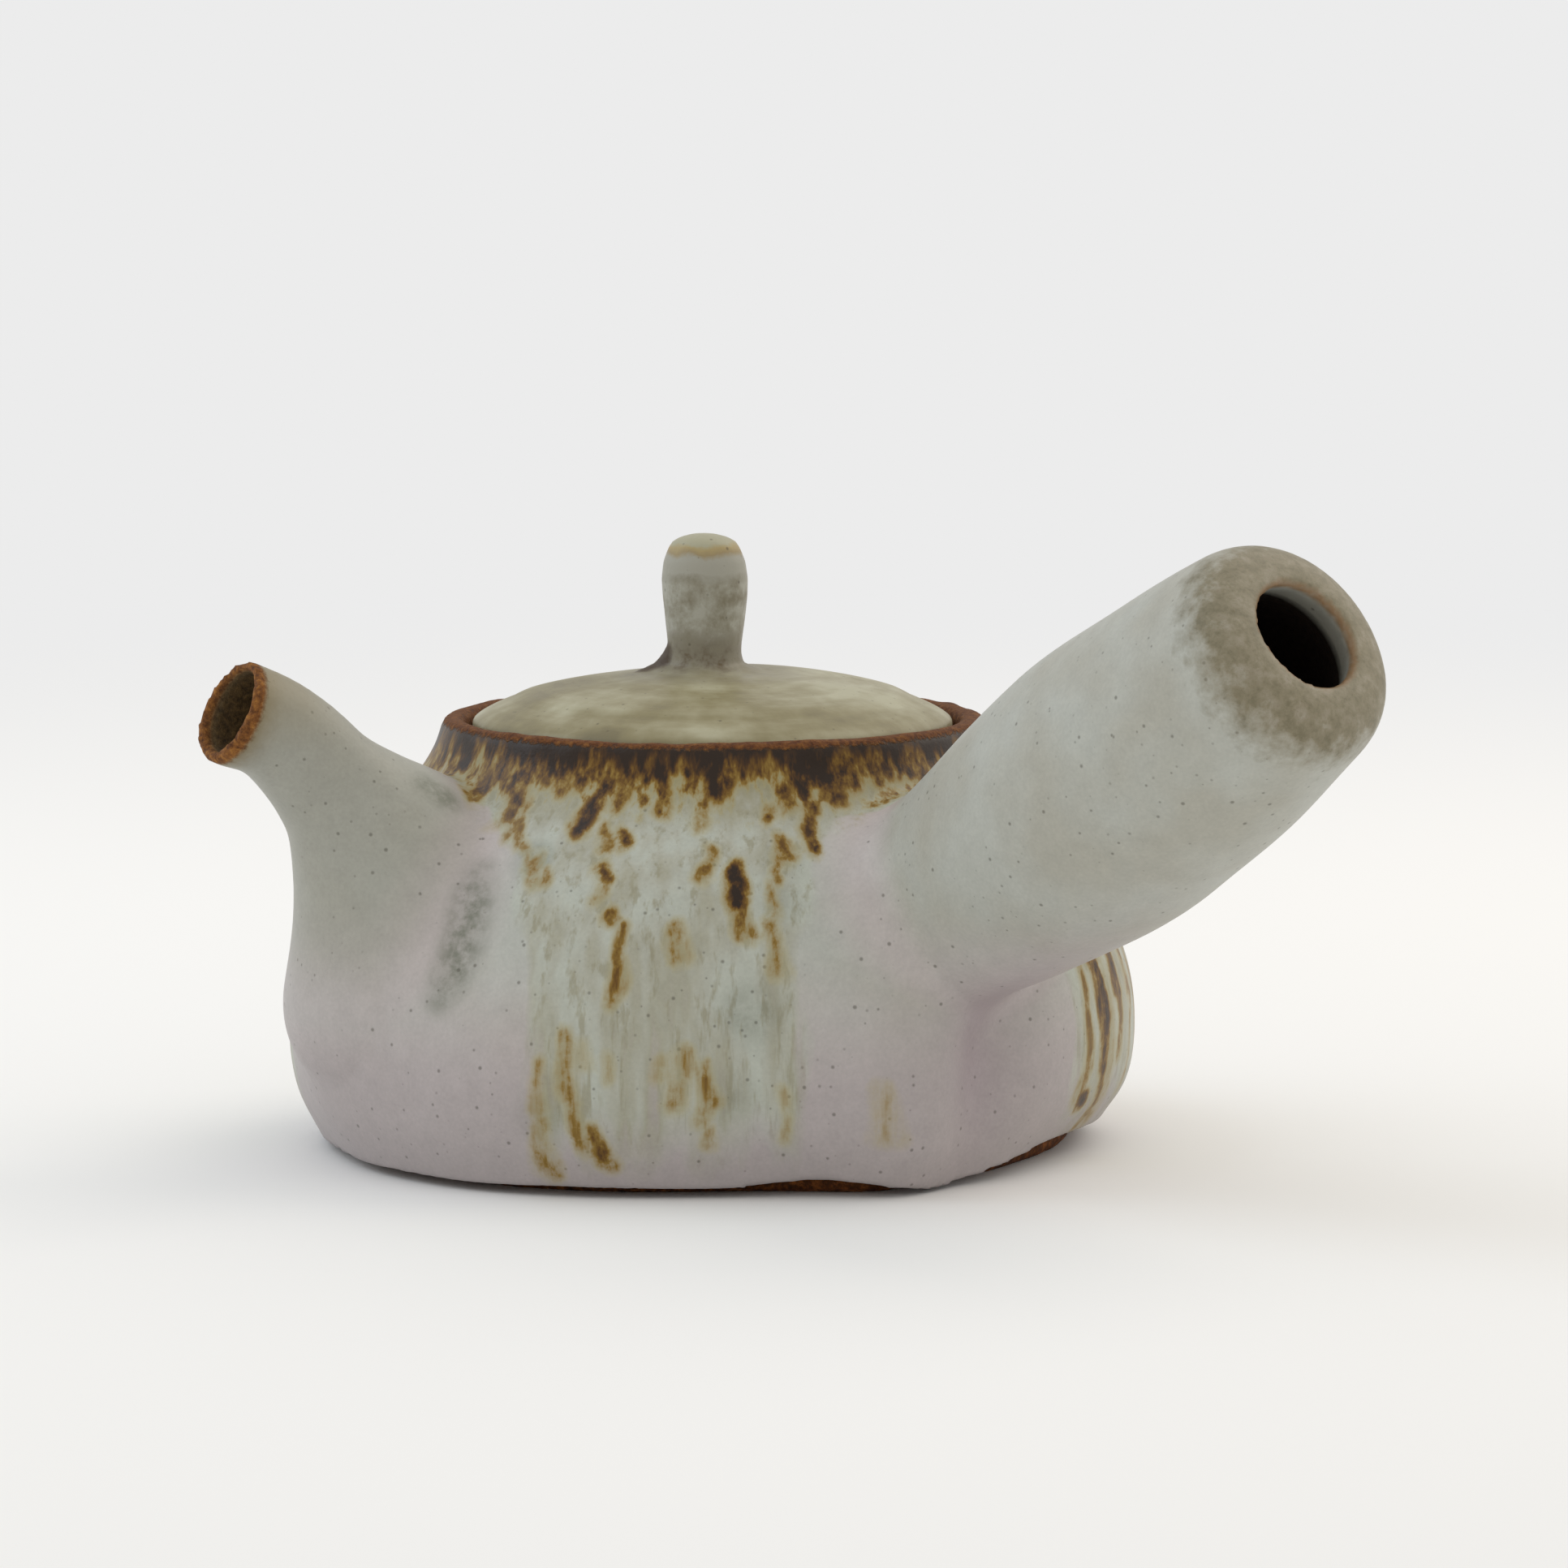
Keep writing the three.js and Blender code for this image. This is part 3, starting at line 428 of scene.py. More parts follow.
# The smoky streak in the crease by the spout, where the glaze lies thick and which is partly
# painted shade, and other patches like it: azimuth, height, reach, half width and strength.
SMOKE_AND_SHADE_STREAK = [(201.5, 42, 49, 1.3, 0.6), (202.8, 38, 52, 2.6, 1), (203.3, 33, 54.5, 2.7, 1),
                (202.8, 28.5, 57, 2.2, 0.95), (201.6, 25, 58, 1, 0.6)]
SMOKE_PATCHES = [(189.8, 52.6, 48.6, 1.6, 1), (191.4, 51, 47, 1.6, 1), (210, 44, 47, 2, 0.9),
                 (252, 44, 47, 2.4, 0.35), (246, 25, 53, 4, 0.5), (243, 14, 55, 3, 0.35),
                 (217, 11, 57, 2.4, 0.5), (251, 39, 49, 2, 0.4)]
GROOVE_POOL_AND_SHADE = (279, 0.1, 21, 14)  # azimuth, width in radians, height and spread of the mauve fold, which is partly glaze pooled in the crease and partly painted shade
# Heights, and the azimuths at which the front panel of run glaze starts and ends there.
PANEL_HEIGHTS = (0, 6, 20, 30, 43.5, 49, 52.5)
PANEL_STARTS = (214, 215.3, 215.6, 213.7, 208.9, 197, 178)
PANEL_ENDS = (253, 253.5, 253, 252.6, 255, 264, 294)
PANEL_FADE = 3  # degrees to either side
PANEL_BACK = (299, 160)  # the other panel goes round the back between these
SMOKE_FADE = 2.4  # how far smoke fades out round a patch
SMOKE_HEART = 0.3  # share of a patch that is at full strength
FAR_RUNS = 70  # on the sides that the photograph doesn't show
FAR_DRIP_TOP = 58
HALO = 1.7  # how far the stain fades out round a run
WAVER = 0.5  # how far a run strays to either side
WAVER_WIDTH = 3.2


def run_field(runs, points):
    """How strongly the runs stain each point."""
    radius = np.hypot(points[0], points[1])
    azimuth = np.arctan2(points[1], points[0])
    stray = WAVER * uneven(*points, WAVER_WIDTH, seed=31)
    ragged = 1 + 0.3 * uneven(*points, WAVER_WIDTH, seed=33)
    stain = np.zeros(len(radius))
    for top_azimuth, top, low_azimuth, low, half_width, strength in runs:
        along = np.clip((top - points[2]) / (top - low), 0, 1)
        middle = top_azimuth + (low_azimuth - top_azimuth) * along
        across = radius * turn_from(azimuth, middle) + stray
        beyond = np.maximum(np.maximum(points[2] - top, low - points[2]), 0)
        # A run widens on its way down, with a ragged edge.
        wide = half_width * (0.5 + 0.65 * along) * ragged
        away = np.hypot(across, beyond)
        stain = np.maximum(stain, strength * ease(wide + HALO, 0, away))
    return stain


# The far side's runs, and the drips from its rim, one in about every eight degrees.
draws = np.random.default_rng(12)
far_runs = []
for _ in range(FAR_RUNS):
    top_azimuth = draws.uniform(-34, 160)
    top = draws.uniform(8, 50)
    low = max(top - draws.exponential(8) - 1.5, 3)
    far_runs.append((top_azimuth, top, top_azimuth + draws.normal(0, 1), low, draws.uniform(0.4, 1.1),
                     draws.uniform(0.2, 0.8)))
for top_azimuth in np.arange(-55, 172, 8):
    top_azimuth += draws.uniform(-3, 3)
    low_azimuth = top_azimuth + draws.normal(0, 1.5)
    low = FAR_DRIP_TOP - 1 - draws.uniform(2, 8)
    far_runs.append((top_azimuth, FAR_DRIP_TOP, low_azimuth, low, draws.uniform(0.6, 1.5),
                     draws.uniform(0.6, 1)))

# What the glaze's material reads at each point. Where a mark fades, its limits are
# millimetres off a form's surface, or degrees round the pot.
forms = pot_forms(*pot_points)
azimuth = np.degrees(np.arctan2(pot_points[1], pot_points[0])) % 360
height = pot_points[2]
outside = ease(-1.6, -0.5, np.minimum(forms["wall"], np.minimum(forms["spout"], forms["handle"])))
smoke = np.zeros(len(height))
streak = np.array(SMOKE_AND_SHADE_STREAK)
streak = np.vstack([a + (b - a) * share for a, b in zip(streak, streak[1:])
                    for share in (0, 0.25, 0.5, 0.75)])
for place, level, out, half_width, strength in [*streak, *SMOKE_PATCHES]:
    centre = (out * math.cos(math.radians(place)), out * math.sin(math.radians(place)), level)
    away = np.linalg.norm(pot_points.T - centre, axis=1)
    patch = ease(half_width + SMOKE_FADE, half_width * SMOKE_HEART, away)
    smoke = np.maximum(smoke, strength * patch)
past_start = azimuth - np.interp(height, PANEL_HEIGHTS, PANEL_STARTS)
past_end = azimuth - np.interp(height, PANEL_HEIGHTS, PANEL_ENDS)
front = ease(-PANEL_FADE, PANEL_FADE, past_start) * ease(PANEL_FADE, -PANEL_FADE, past_end)
back = ease(-4, 5, azimuth - PANEL_BACK[0]) + ease(8, -4, azimuth - PANEL_BACK[1])
on_wall = ease(3.5, 1, forms["wall"]) * outside
place, wide, level, tall = GROOVE_POOL_AND_SHADE
round_pot = turn_from(np.radians(azimuth), place) / wide
groove = np.exp(-(round_pot**2) - ((height - level) / tall) ** 2)
mark(pot, "groove", groove * outside)
mark(pot, "off_wall", np.clip(forms["wall"], -5, 20))
mark(pot, "to_joint", np.clip(np.minimum(forms["spout"], forms["handle"]), -5, 30))
mark(pot, "outside", outside)
mark(pot, "runs", run_field(RUNS + SPOTS + far_runs, pot_points) * on_wall)
mark(pot, "smoke", smoke * outside)
mark(pot, "panel", np.clip(front + back, 0, 1) * on_wall)
for tube_name in ("spout", "handle"):  # how far back from the mouth, and much further off the tube
    off_tube = 8 * np.maximum(forms[tube_name] - 0.5, 0)
    mark(pot, tube_name + "_back", np.clip(off_tube - forms["past_" + tube_name], -5, 60))
mark(pot, "in_spout", ease(1.5, 0.5, forms["spout_bore"]) * (1 - outside))
hole_edge = ease(1.1, 0.3, np.abs(forms["handle_bore"])) * ease(-1.6, -0.8, forms["handle"])
mark(pot, "hole_edge", hole_edge)
mark(pot, "in_handle", ease(1.3, 0.4, forms["handle_bore"]) * ease(-0.6, -1.6, forms["handle"]))

# The glaze on the pot
# One dipped ash glaze, pale and satin. It goes milky grey where it's thin, lavender at the
# joints and the bottom, greenish and runny down the panels, and brown off the rim. The
# lavender low on the belly is partly painted shade.

# The scale of a pattern is 1 over the width in millimetres of what it draws.
CLOUD = 1 / 16
GRAIN = 1 / 0.5
MOTTLE = 1 / 2.6
STREAK = 1 / 1.5
STREAK_DRAW = 0.14  # how far streaks are drawn out down the pot
BROAD_STREAK = 1 / 4.5
GRIT_GRAIN = 1 / 0.9
SPECK_CELL = 1.6
SPOT_CELL = 10


def linear(text):
    """Linear colour with full alpha from an sRGB hex string."""
    values = [int(text[start:start + 2], 16) / 255 for start in (1, 3, 5)]
    return (*[v / 12.92 if v <= 0.04045 else ((v + 0.055) / 1.055) ** 2.4 for v in values], 1)


def node_adder(tree):
    """Empties a tree of nodes and gives the function that adds a node to it.

    Positional values go to the node's inputs in order and capitalised ones by name. A node
    stands for its first output. Other words set the node itself, and stops fill a ramp. Where
    Math is given more than two values, it takes them two at a time.
    """
    tree.nodes.clear()

    def put(socket, value):
        if isinstance(value, bpy.types.Node):
            value = value.outputs[0]
        if isinstance(value, bpy.types.NodeSocket):
            tree.links.new(value, socket)
        else:
            socket.default_value = value

    def add(kind, *values, stops=(), **words):
        if kind == "Math" and len(values) > 2:
            values = (add(kind, *values[:-1], **words), values[-1])
        node = tree.nodes.new("ShaderNode" + kind)
        for word, value in words.items():
            if word[0].isupper():
                put(node.inputs[word.replace("_", " ")], value)
            else:
                setattr(node, word, value)
        for socket, value in zip(node.inputs, values):
            put(socket, value)
        for number, (place, colour) in enumerate(stops):
            if number > 1:
                node.color_ramp.elements.new(1)
            node.color_ramp.elements[number].position = place
            node.color_ramp.elements[number].color = linear(colour)
        return node

    return add


def new_material(name):
    """A material and the function that adds a node to it."""
    material = bpy.data.materials.new(name)
    material.use_nodes = True
    return material, node_adder(material.node_tree)


def finish_material(add, colour, roughness, height):
    """Joins colour, roughness and height in millimetres to a material's output."""
    bump = add("Bump", Height=height, Distance=MM, Strength=1)
    surface = add("BsdfPrincipled", Base_Color=colour, Roughness=roughness, Normal=bump,
                  Specular_IOR_Level=0.3)
    add("OutputMaterial", surface)


def speckle(add, place, cell, reach, share):
    """Mask of round specks, one in some cells of that width, up to that radius."""
    cells = add("TexVoronoi", Vector=place, Scale=1 / cell)
    draw = add("SeparateColor", cells.outputs["Color"])
    chosen = add("MapRange", draw, 1 - share, 1, 0.4 * reach / cell, reach / cell)
    chosen.clamp = False
    edge = add("Math", cells, chosen, operation="SUBTRACT")
    return add("MapRange", edge, 0.1 / cell, -0.1 / cell, 0, 1)


def in_millimetres(add):
    """Place on the object in millimetres, which a material's patterns lie in."""
    return add("VectorMath", add("TexCoord").outputs["Object"], (1 / MM,) * 3, operation="MULTIPLY")


# A MapRange has the two ends of what goes in, then the two that come out. Heights, depths
# and distances that go in are millimetres, and noise goes from about 0.3 to 0.7.
glaze, add = new_material("ash_glaze_dipped_and_run")
place = in_millimetres(add)
drawn = add("VectorMath", place, (1, 1, STREAK_DRAW), operation="MULTIPLY")
level = add("SeparateXYZ", place).outputs["Z"]
marks = {name: add("Attribute", attribute_name=name).outputs["Fac"] for name in (
    "off_wall", "to_joint", "outside", "runs", "smoke", "panel", "groove", "spout_back",
    "handle_back", "hole_edge", "in_spout", "in_handle")}
cloud = add("TexNoise", Vector=place, Scale=CLOUD, Detail=2)
grain = add("TexNoise", Vector=place, Scale=GRAIN, Detail=2)
mottle = add("TexNoise", Vector=place, Scale=MOTTLE, Detail=5, Roughness=0.62)
streaks = add("TexNoise", Vector=drawn, Scale=STREAK, Detail=3, Roughness=0.6)
broad_streaks = add("TexNoise", Vector=drawn, Scale=BROAD_STREAK, Detail=3)
gritty = add("TexNoise", Vector=place, Scale=GRIT_GRAIN, Detail=4, Roughness=0.7)

# Milky body of the glaze: grey, warmer in clouds, lavender where it's thickest at the joints.
# Low on the belly the lavender is partly the glaze's colour and partly painted shade, darker further
# down.
warm = add("MapRange", cloud, 0.4, 0.62, 0, 1)
milky = add("MixRGB", warm, linear("#b2b4ac"), linear("#abaa9f"))
low = add("MapRange", level, 36, 14, 0, 1, interpolation_type="SMOOTHSTEP")
by_joint = add("MapRange", marks["to_joint"], 9, 0, 0, 1, interpolation_type="SMOOTHSTEP")
off_tube = add("MapRange", marks["off_wall"], 8, 1, 0, 1, interpolation_type="SMOOTHSTEP")
thick_glaze_and_low_shade = add("Math", add("Math", by_joint, low, operation="MAXIMUM"), off_tube, 0.9, operation="MULTIPLY")
lavender_and_shade = add("MixRGB", add("MapRange", level, 30, 14, 0, 1), linear("#bbb1b0"), linear("#aca3a3"))
milky = add("MixRGB", thick_glaze_and_low_shade, milky, lavender_and_shade)
# The mauve fold: partly glaze pooled in the crease, partly painted shade in it.
milky = add("MixRGB", add("Math", marks["groove"], 0.6, operation="MULTIPLY"), milky, linear("#9a8b92"))
# Khaki towards the spout: partly a thinner glaze, partly painted shade on the spout.
khaki_and_shade = add("MapRange", marks["spout_back"], 50, 14, 0, 0.8, interpolation_type="SMOOTHSTEP")
milky = add("MixRGB", khaki_and_shade, milky, linear("#9a998e"))

# Panels where the glaze ran: greenish, with soft streaks drawn down.
edge = add("MapRange", broad_streaks, 0.3, 0.7, -0.5, 0.5)
edge.clamp = False
panel = add("MapRange", add("Math", marks["panel"], edge, operation="ADD"), 0.3, 0.75, 0, 1)
hem = add("Math", level, add("Math", broad_streaks, 18, operation="MULTIPLY"), operation="SUBTRACT")
panel = add("Math", panel, add("MapRange", hem, -5, 3, 0, 1),
            add("MapRange", marks["panel"], 0, 0.2, 0, 1), operation="MULTIPLY")
run_tone = add("ValToRGB", broad_streaks, stops=[(0.36, "#a19f8c"), (0.5, "#aeafa2"), (0.62, "#b4b8ad")])
drawn_thin = add("MapRange", streaks, 0.46, 0.34, 0, 0.6)
run_tone = add("MixRGB", drawn_thin, run_tone, linear("#8f8a70"))
milky = add("MixRGB", panel, milky, run_tone)
fine = add("Math", add("MapRange", mottle, 0.3, 0.7, 0.95, 1.04),
           add("MapRange", grain, 0.3, 0.7, 0.96, 1.04), operation="MULTIPLY")
milky = add("MixRGB", 1, milky, fine, blend_type="MULTIPLY")
# Smoky patches; the streak in the crease by the spout is partly painted shade.
smoky_and_shaded = add("Math", marks["smoke"], add("MapRange", mottle, 0.38, 0.58, 0.35, 1), 0.8,
            operation="MULTIPLY")
milky = add("MixRGB", smoky_and_shaded, milky, linear("#676b5b"))
specks = speckle(add, place, SPECK_CELL, 0.26, 0.5)
milky = add("MixRGB", add("Math", specks, 0.6, operation="MULTIPLY"), milky, linear("#514e43"))
spots = speckle(add, drawn, SPOT_CELL, 0.5, 0.15)
milky = add("MixRGB", add("Math", spots, panel, 0.6, operation="MULTIPLY"), milky, linear("#6b4f20"))

# Iron off the rim and in the runs: amber at the edges and nearly black at the heart.
depth = add("Math", RIM_HEIGHT, level, operation="SUBTRACT")
collar = add("MapRange", marks["off_wall"], 2, 0.8, 0, 1)
hatch = add("Math", add("Math", streaks, 0.5, operation="SUBTRACT"), 2.1, operation="MULTIPLY")
blotch = add("Math", add("Math", broad_streaks, 0.5, operation="SUBTRACT"), 1.9, operation="MULTIPLY")
ragged = add("Math", hatch, blotch, operation="ADD")
window = add("MapRange", depth, 1, 4, 0.45, 1)
haze = add("Math", depth, add("Math", ragged, 3, operation="MULTIPLY"), operation="SUBTRACT")
haze = add("Math", add("MapRange", haze, 11, 5, 0, 0.75), collar, operation="MULTIPLY")
milky = add("MixRGB", haze, milky, linear("#8a8157"))
under_rim = add("MapRange", depth, 1.2, 9.5, 1, 0)
under_rim = add("Math", under_rim, add("Math", ragged, window, operation="MULTIPLY"), operation="ADD")
under_rim = add("Math", under_rim, collar, add("MapRange", depth, 12, 8, 0, 1), operation="MULTIPLY")
broken = add("MapRange", streaks, 0.32, 0.6, 0.6, 1.2)
patchy = add("MapRange", mottle, 0.36, 0.56, 0.7, 1.08)
run_down = add("Math", marks["runs"], broken, patchy, operation="MULTIPLY")
stain = add("Math", run_down, under_rim, operation="MAXIMUM")
iron = add("ValToRGB", stain, stops=[
    (0.2, "#a89c6c"), (0.46, "#8b6f2e"), (0.66, "#684913"), (0.84, "#442b0e"), (1, "#281a0e")])
milky = add("MixRGB", add("MapRange", stain, 0.06, 0.5, 0, 1), milky, iron)

# Thin glaze by the lips: tan on the handle's, orange brown on the spout's.
lip = add("Math", marks["spout_back"], add("Math", gritty, 1.6, operation="MULTIPLY"), operation="ADD")
thin = add("MapRange", lip, 7, 2, 0, 1)
milky = add("MixRGB", add("Math", thin, thin, 0.85, operation="MULTIPLY"), milky, linear("#75602f"))
sooty = add("Math", add("MapRange", marks["spout_back"], 20, 8, 0, 1),
            add("MapRange", level, 58, 68, 0, 0.75), operation="MULTIPLY")
milky = add("MixRGB", sooty, milky, linear("#8a8065"))
worn = add("Math", marks["handle_back"], add("Math", mottle, 10, operation="MULTIPLY"), operation="ADD")
worn = add("Math", add("MapRange", worn, 12.5, 7, 0, 1), marks["outside"], operation="MULTIPLY")
worn_grain = add("Math", add("Math", mottle, 0.55, operation="MULTIPLY"),
                 add("Math", gritty, 0.45, operation="MULTIPLY"), operation="ADD")
worn_tone = add("ValToRGB", worn_grain, stops=[(0.38, "#6c644a"), (0.5, "#80775e"), (0.62, "#938a77")])
worn_tone = add("MixRGB", add("MapRange", gritty, 0.56, 0.7, 0, 0.6), worn_tone, linear("#6f6246"))
shoulder = add("MapRange", marks["handle_back"], 2.5, 5, 0, 1)
shoulder = add("Math", shoulder, add("MapRange", mottle, 0.4, 0.58, 0, 0.7), operation="MULTIPLY")
worn_tone = add("MixRGB", shoulder, worn_tone, linear("#7c735a"))
milky = add("MixRGB", add("Math", worn, 0.9, operation="MULTIPLY"), milky, worn_tone)
hole_rim = add("Math", marks["hole_edge"], 0.75, operation="MULTIPLY")
milky = add("MixRGB", hole_rim, milky, linear("#87633c"))

# Bare and nearly bare clay: the crest, the seat inside it, the spout's lip and the hollows.
# The spout's bare throat is darkened with painted shade, and deep in the handle the surface is
# painted near black as shade.
clay = add("ValToRGB", gritty, stops=[(0.32, "#4a280c"), (0.5, "#784a1e"), (0.68, "#a26e30")])
bore_shade_tone = add("ValToRGB", gritty, stops=[(0.3, "#100a06"), (0.7, "#2a1c12")])
crest = add("Math", depth, add("Math", gritty, 1.4, operation="MULTIPLY"), operation="SUBTRACT")
crest = add("Math", add("MapRange", crest, 0.5, 0.1, 0, 1), collar, operation="MULTIPLY")
radius = add("VectorMath", add("VectorMath", place, (1, 1, 0), operation="MULTIPLY"), operation="LENGTH")
seat = add("MapRange", radius.outputs["Value"], 34.9, 34.3, 0, 1)
seat = add("Math", seat, add("MapRange", level, 50.5, 51, 0, 1), operation="MULTIPLY")
on_lip = add("MapRange", lip, 2.7, 2, 0, 1)
on_crest = add("Math", crest, seat, operation="MAXIMUM")
bare = add("Math", on_crest, on_lip, operation="MAXIMUM")
clay = add("MixRGB", add("Math", on_crest, 0.5, operation="MULTIPLY"), clay, linear("#4a2412"))
colour = add("MixRGB", bare, milky, clay)
# Painted shade: deep inside the hollow handle, the surface is painted near black.
deep_shade = add("MapRange", marks["handle_back"], 4, 5.4, 0, 1)
deep_shade = add("Math", marks["in_handle"], deep_shade, operation="MULTIPLY")
throat = add("MapRange", marks["spout_back"], -1, 1.2, 0, 1)
throat = add("Math", marks["in_spout"], throat, operation="MULTIPLY")
hollow = add("Math", deep_shade, throat, operation="MAXIMUM")
# The spout's throat: bare clay, painted darker as shade inside the spout.
throat_clay_and_shade = add("ValToRGB", gritty, stops=[(0.3, "#2e2112"), (0.7, "#6b5430")])
colour = add("MixRGB", throat, colour, throat_clay_and_shade)
colour = add("MixRGB", deep_shade, colour, bore_shade_tone)
bare = add("Math", bare, hollow, operation="MAXIMUM")
glossy = add("MapRange", stain, 0, 0.8, 0.44, 0.34)
roughness = add("MixRGB", bare, glossy, (0.8, 0.8, 0.8, 1))
height = add("Math", add("Math", grain, 0.03, operation="MULTIPLY"),
             add("Math", gritty, 0.35, bare, operation="MULTIPLY"), operation="ADD")
finish_material(add, colour, roughness, height)
pot.data.materials.append(glaze)

# The foot
# The floor of the pot, cut from the wheel with a wire and left bare: matt, gritty clay, red
# brown from its iron, with faint rings from the wire. Only its upper face, which is inside
# the pot, has glaze on it.

FOOT_EDGE = 1  # chamfer
FOOT_TOP = FLOOR + 0.6  # closes on the wall, as fired clay shows no seam
FOOT_GRIT = ((45, 48), (0.3, 1.5))  # radii and heights between which the edge's grit grows
FOOT_GRAIN = 1 / 1.1
WIRE_RINGS = 0.35  # to a millimetre
foot_form = turned([
    (-OVERRUN, 0), (FOOT_RADIUS - FOOT_EDGE, 0), (FOOT_RADIUS, FOOT_EDGE), (FOOT_RADIUS, FOOT_TOP),
    (-OVERRUN, FOOT_TOP),
])


def foot_distance(x, y, z):
    """Distance to the foot."""
    radii, heights = FOOT_GRIT
    on_edge = ease(*radii, np.hypot(x, y)) * ease(*heights, z)
    return foot_form(*unpressed(x, y, z)) + GRIT * uneven(x, y, z, GRIT_WIDTH, seed=15) * on_edge


foot, _ = skin("wire_cut_foot", foot_distance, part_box("foot_slab"), POT_VOXEL)
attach(foot, "pot")
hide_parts("foot_slab")

bare_clay, add = new_material("iron_stoneware_wire_cut")
place = in_millimetres(add)
gritty = add("TexNoise", Vector=place, Scale=FOOT_GRAIN, Detail=5, Roughness=0.7)
clay = add("ValToRGB", gritty, stops=[(0.3, "#2a1409"), (0.5, "#583011"), (0.7, "#985a25")])
level = add("SeparateXYZ", place).outputs["Z"]
inside = add("MapRange", level, FOOT_TOP - 0.3, FOOT_TOP - 0.1, 0, 1)
colour = add("MixRGB", inside, clay, linear("#9a9486"))
wire = add("TexWave", Vector=place, Scale=WIRE_RINGS, Distortion=4, Detail=2, wave_type="RINGS")
below = add("MapRange", level, 0.3, 0.1, 0, 0.12)
height = add("Math", add("Math", gritty, 0.3, operation="MULTIPLY"),
             add("Math", wire, below, operation="MULTIPLY"), operation="ADD")
roughness = add("MixRGB", inside, (0.88, 0.88, 0.88, 1), (0.4, 0.4, 0.4, 1))
finish_material(add, colour, roughness, height)
foot.data.materials.append(bare_clay)

# The strainer
# A pinched dome of the same clay, pierced with a hollow tool and luted inside the pot over
# the pouring hole. It was left bare, so that glaze couldn't close its holes, and is a matt,
# gritty brown.

pierced_clay, add = new_material("iron_stoneware_pinched_and_pierced")
place = in_millimetres(add)
gritty = add("TexNoise", Vector=place, Scale=GRIT_GRAIN, Detail=4, Roughness=0.7)
colour = add("ValToRGB", gritty, stops=[(0.32, "#4e3523"), (0.5, "#6f5138"), (0.68, "#8d6c4c")])
finish_material(add, colour, 0.82, add("Math", gritty, 0.3, operation="MULTIPLY"))
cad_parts["strainer"].data.materials.clear()
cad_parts["strainer"].data.materials.append(pierced_clay)

# The lid and its knob
# A shallow domed cap thrown with a flange that stops it sliding, and a thrown stalk luted on
# slightly off centre with a ridge of iron slip. Its glaze was brushed on as it turned, so
# it is khaki in soft rings, and greyer on the stalk.

LID_RADIUS = 32.4
LID_BOTTOM = 54.9
LID_EDGE = 3
LID_RISE = 6.9
CROWN_SLACK = 0.76  # 0.5 would be an ellipse
LID_THICKNESS = 3.6
FLANGE_BOTTOM = 46.9
FLANGE_INSIDE = 24.4
FLANGE_OUTSIDE = (27.6, 26.8)  # at the lid and at its end
DOME_POINTS = 24
KNOB_OFFSET = (-0.95, 0.55)
# Radius and height up the stalk's outside, from where it stands in the lid.
KNOB = [
    (-OVERRUN, 62), (6.9, 62), (6.5, 64.3), (5.1, 65.4), (4.6, 67), (4.6, 68.5), (4.9, 71.5),
    (5.15, 75), (5.2, 77.3), (4.9, 79.6), (4.25, 81.3), (3.8, 82), (2.9, 82.45), (1.5, 82.8),
    (0, 82.9), (-OVERRUN, 82.9),
]
KNOB_VALLEY = 3.5
KNOB_SWELL = 0.1
KNOB_SWELL_WIDTH = 9
KNOB_SWELL_HEIGHTS = (60, 64)  # between which the swell grows
VENT = (17, 95, 1.7)  # reach, azimuth and radius of the hole that lets air in while pouring
VENT_EDGE = 0.8
# Place and radius of the balls that the ridge of slip runs between.
RIDGE = [(-8.6, 3.8, 64.3, 0.8), (-6.6, 2.9, 65, 1.2), (-5.6, 2.1, 66.3, 1.3), (-5.4, 1.8, 67.6, 0.8)]
RIDGE_STEPS = 5
RIDGE_VALLEY = 0.8
LID_VOXEL = 0.5
BRUSHING = 0.45  # strokes to a millimetre across them
BRUSH_DRAW = 4  # how fast strokes change on their way round
PATCH = 1 / 12
KNOB_MOTTLE = 0.35
LIT_SIDE_WAY = (0.87, -0.5, 0)  # painted light: the way towards the warm lamp, along which the lid is painted paler

arc = np.linspace(0, math.pi / 2, DOME_POINTS)
top = LID_BOTTOM + LID_EDGE + LID_RISE
dome = LID_BOTTOM + LID_EDGE + LID_RISE * np.sin(arc) ** (2 * CROWN_SLACK)
crown = np.stack([LID_RADIUS * np.cos(arc), dome], 1)
vault = np.stack([FLANGE_INSIDE * np.sin(arc), top - LID_THICKNESS - LID_RISE * (1 - np.cos(arc))], 1)
lid_form = turned([
    (-OVERRUN, top - LID_THICKNESS), *vault, (FLANGE_INSIDE, FLANGE_BOTTOM),
    (FLANGE_OUTSIDE[1], FLANGE_BOTTOM), (FLANGE_OUTSIDE[0], LID_BOTTOM), (LID_RADIUS, LID_BOTTOM),
    *crown, (-OVERRUN, top),
])
knob_form = turned(KNOB)


def lid_forms(x, y, z):
    """Distances to the forms that the lid is made of."""
    ridge = np.float32(FAR_OFF)
    for start, end in zip(RIDGE, RIDGE[1:]):
        for share in np.linspace(0, 1, RIDGE_STEPS):
            rx, ry, rz, width = np.array(start) * (1 - share) + np.array(end) * share
            ridge = np.minimum(ridge, np.sqrt((x - rx) ** 2 + (y - ry) ** 2 + (z - rz) ** 2) - width)
    return {
        "cap": lid_form(np.hypot(x, y), z),
        "knob": knob_form(np.hypot(x - KNOB_OFFSET[0], y - KNOB_OFFSET[1]), z),
        "ridge": ridge,
    }


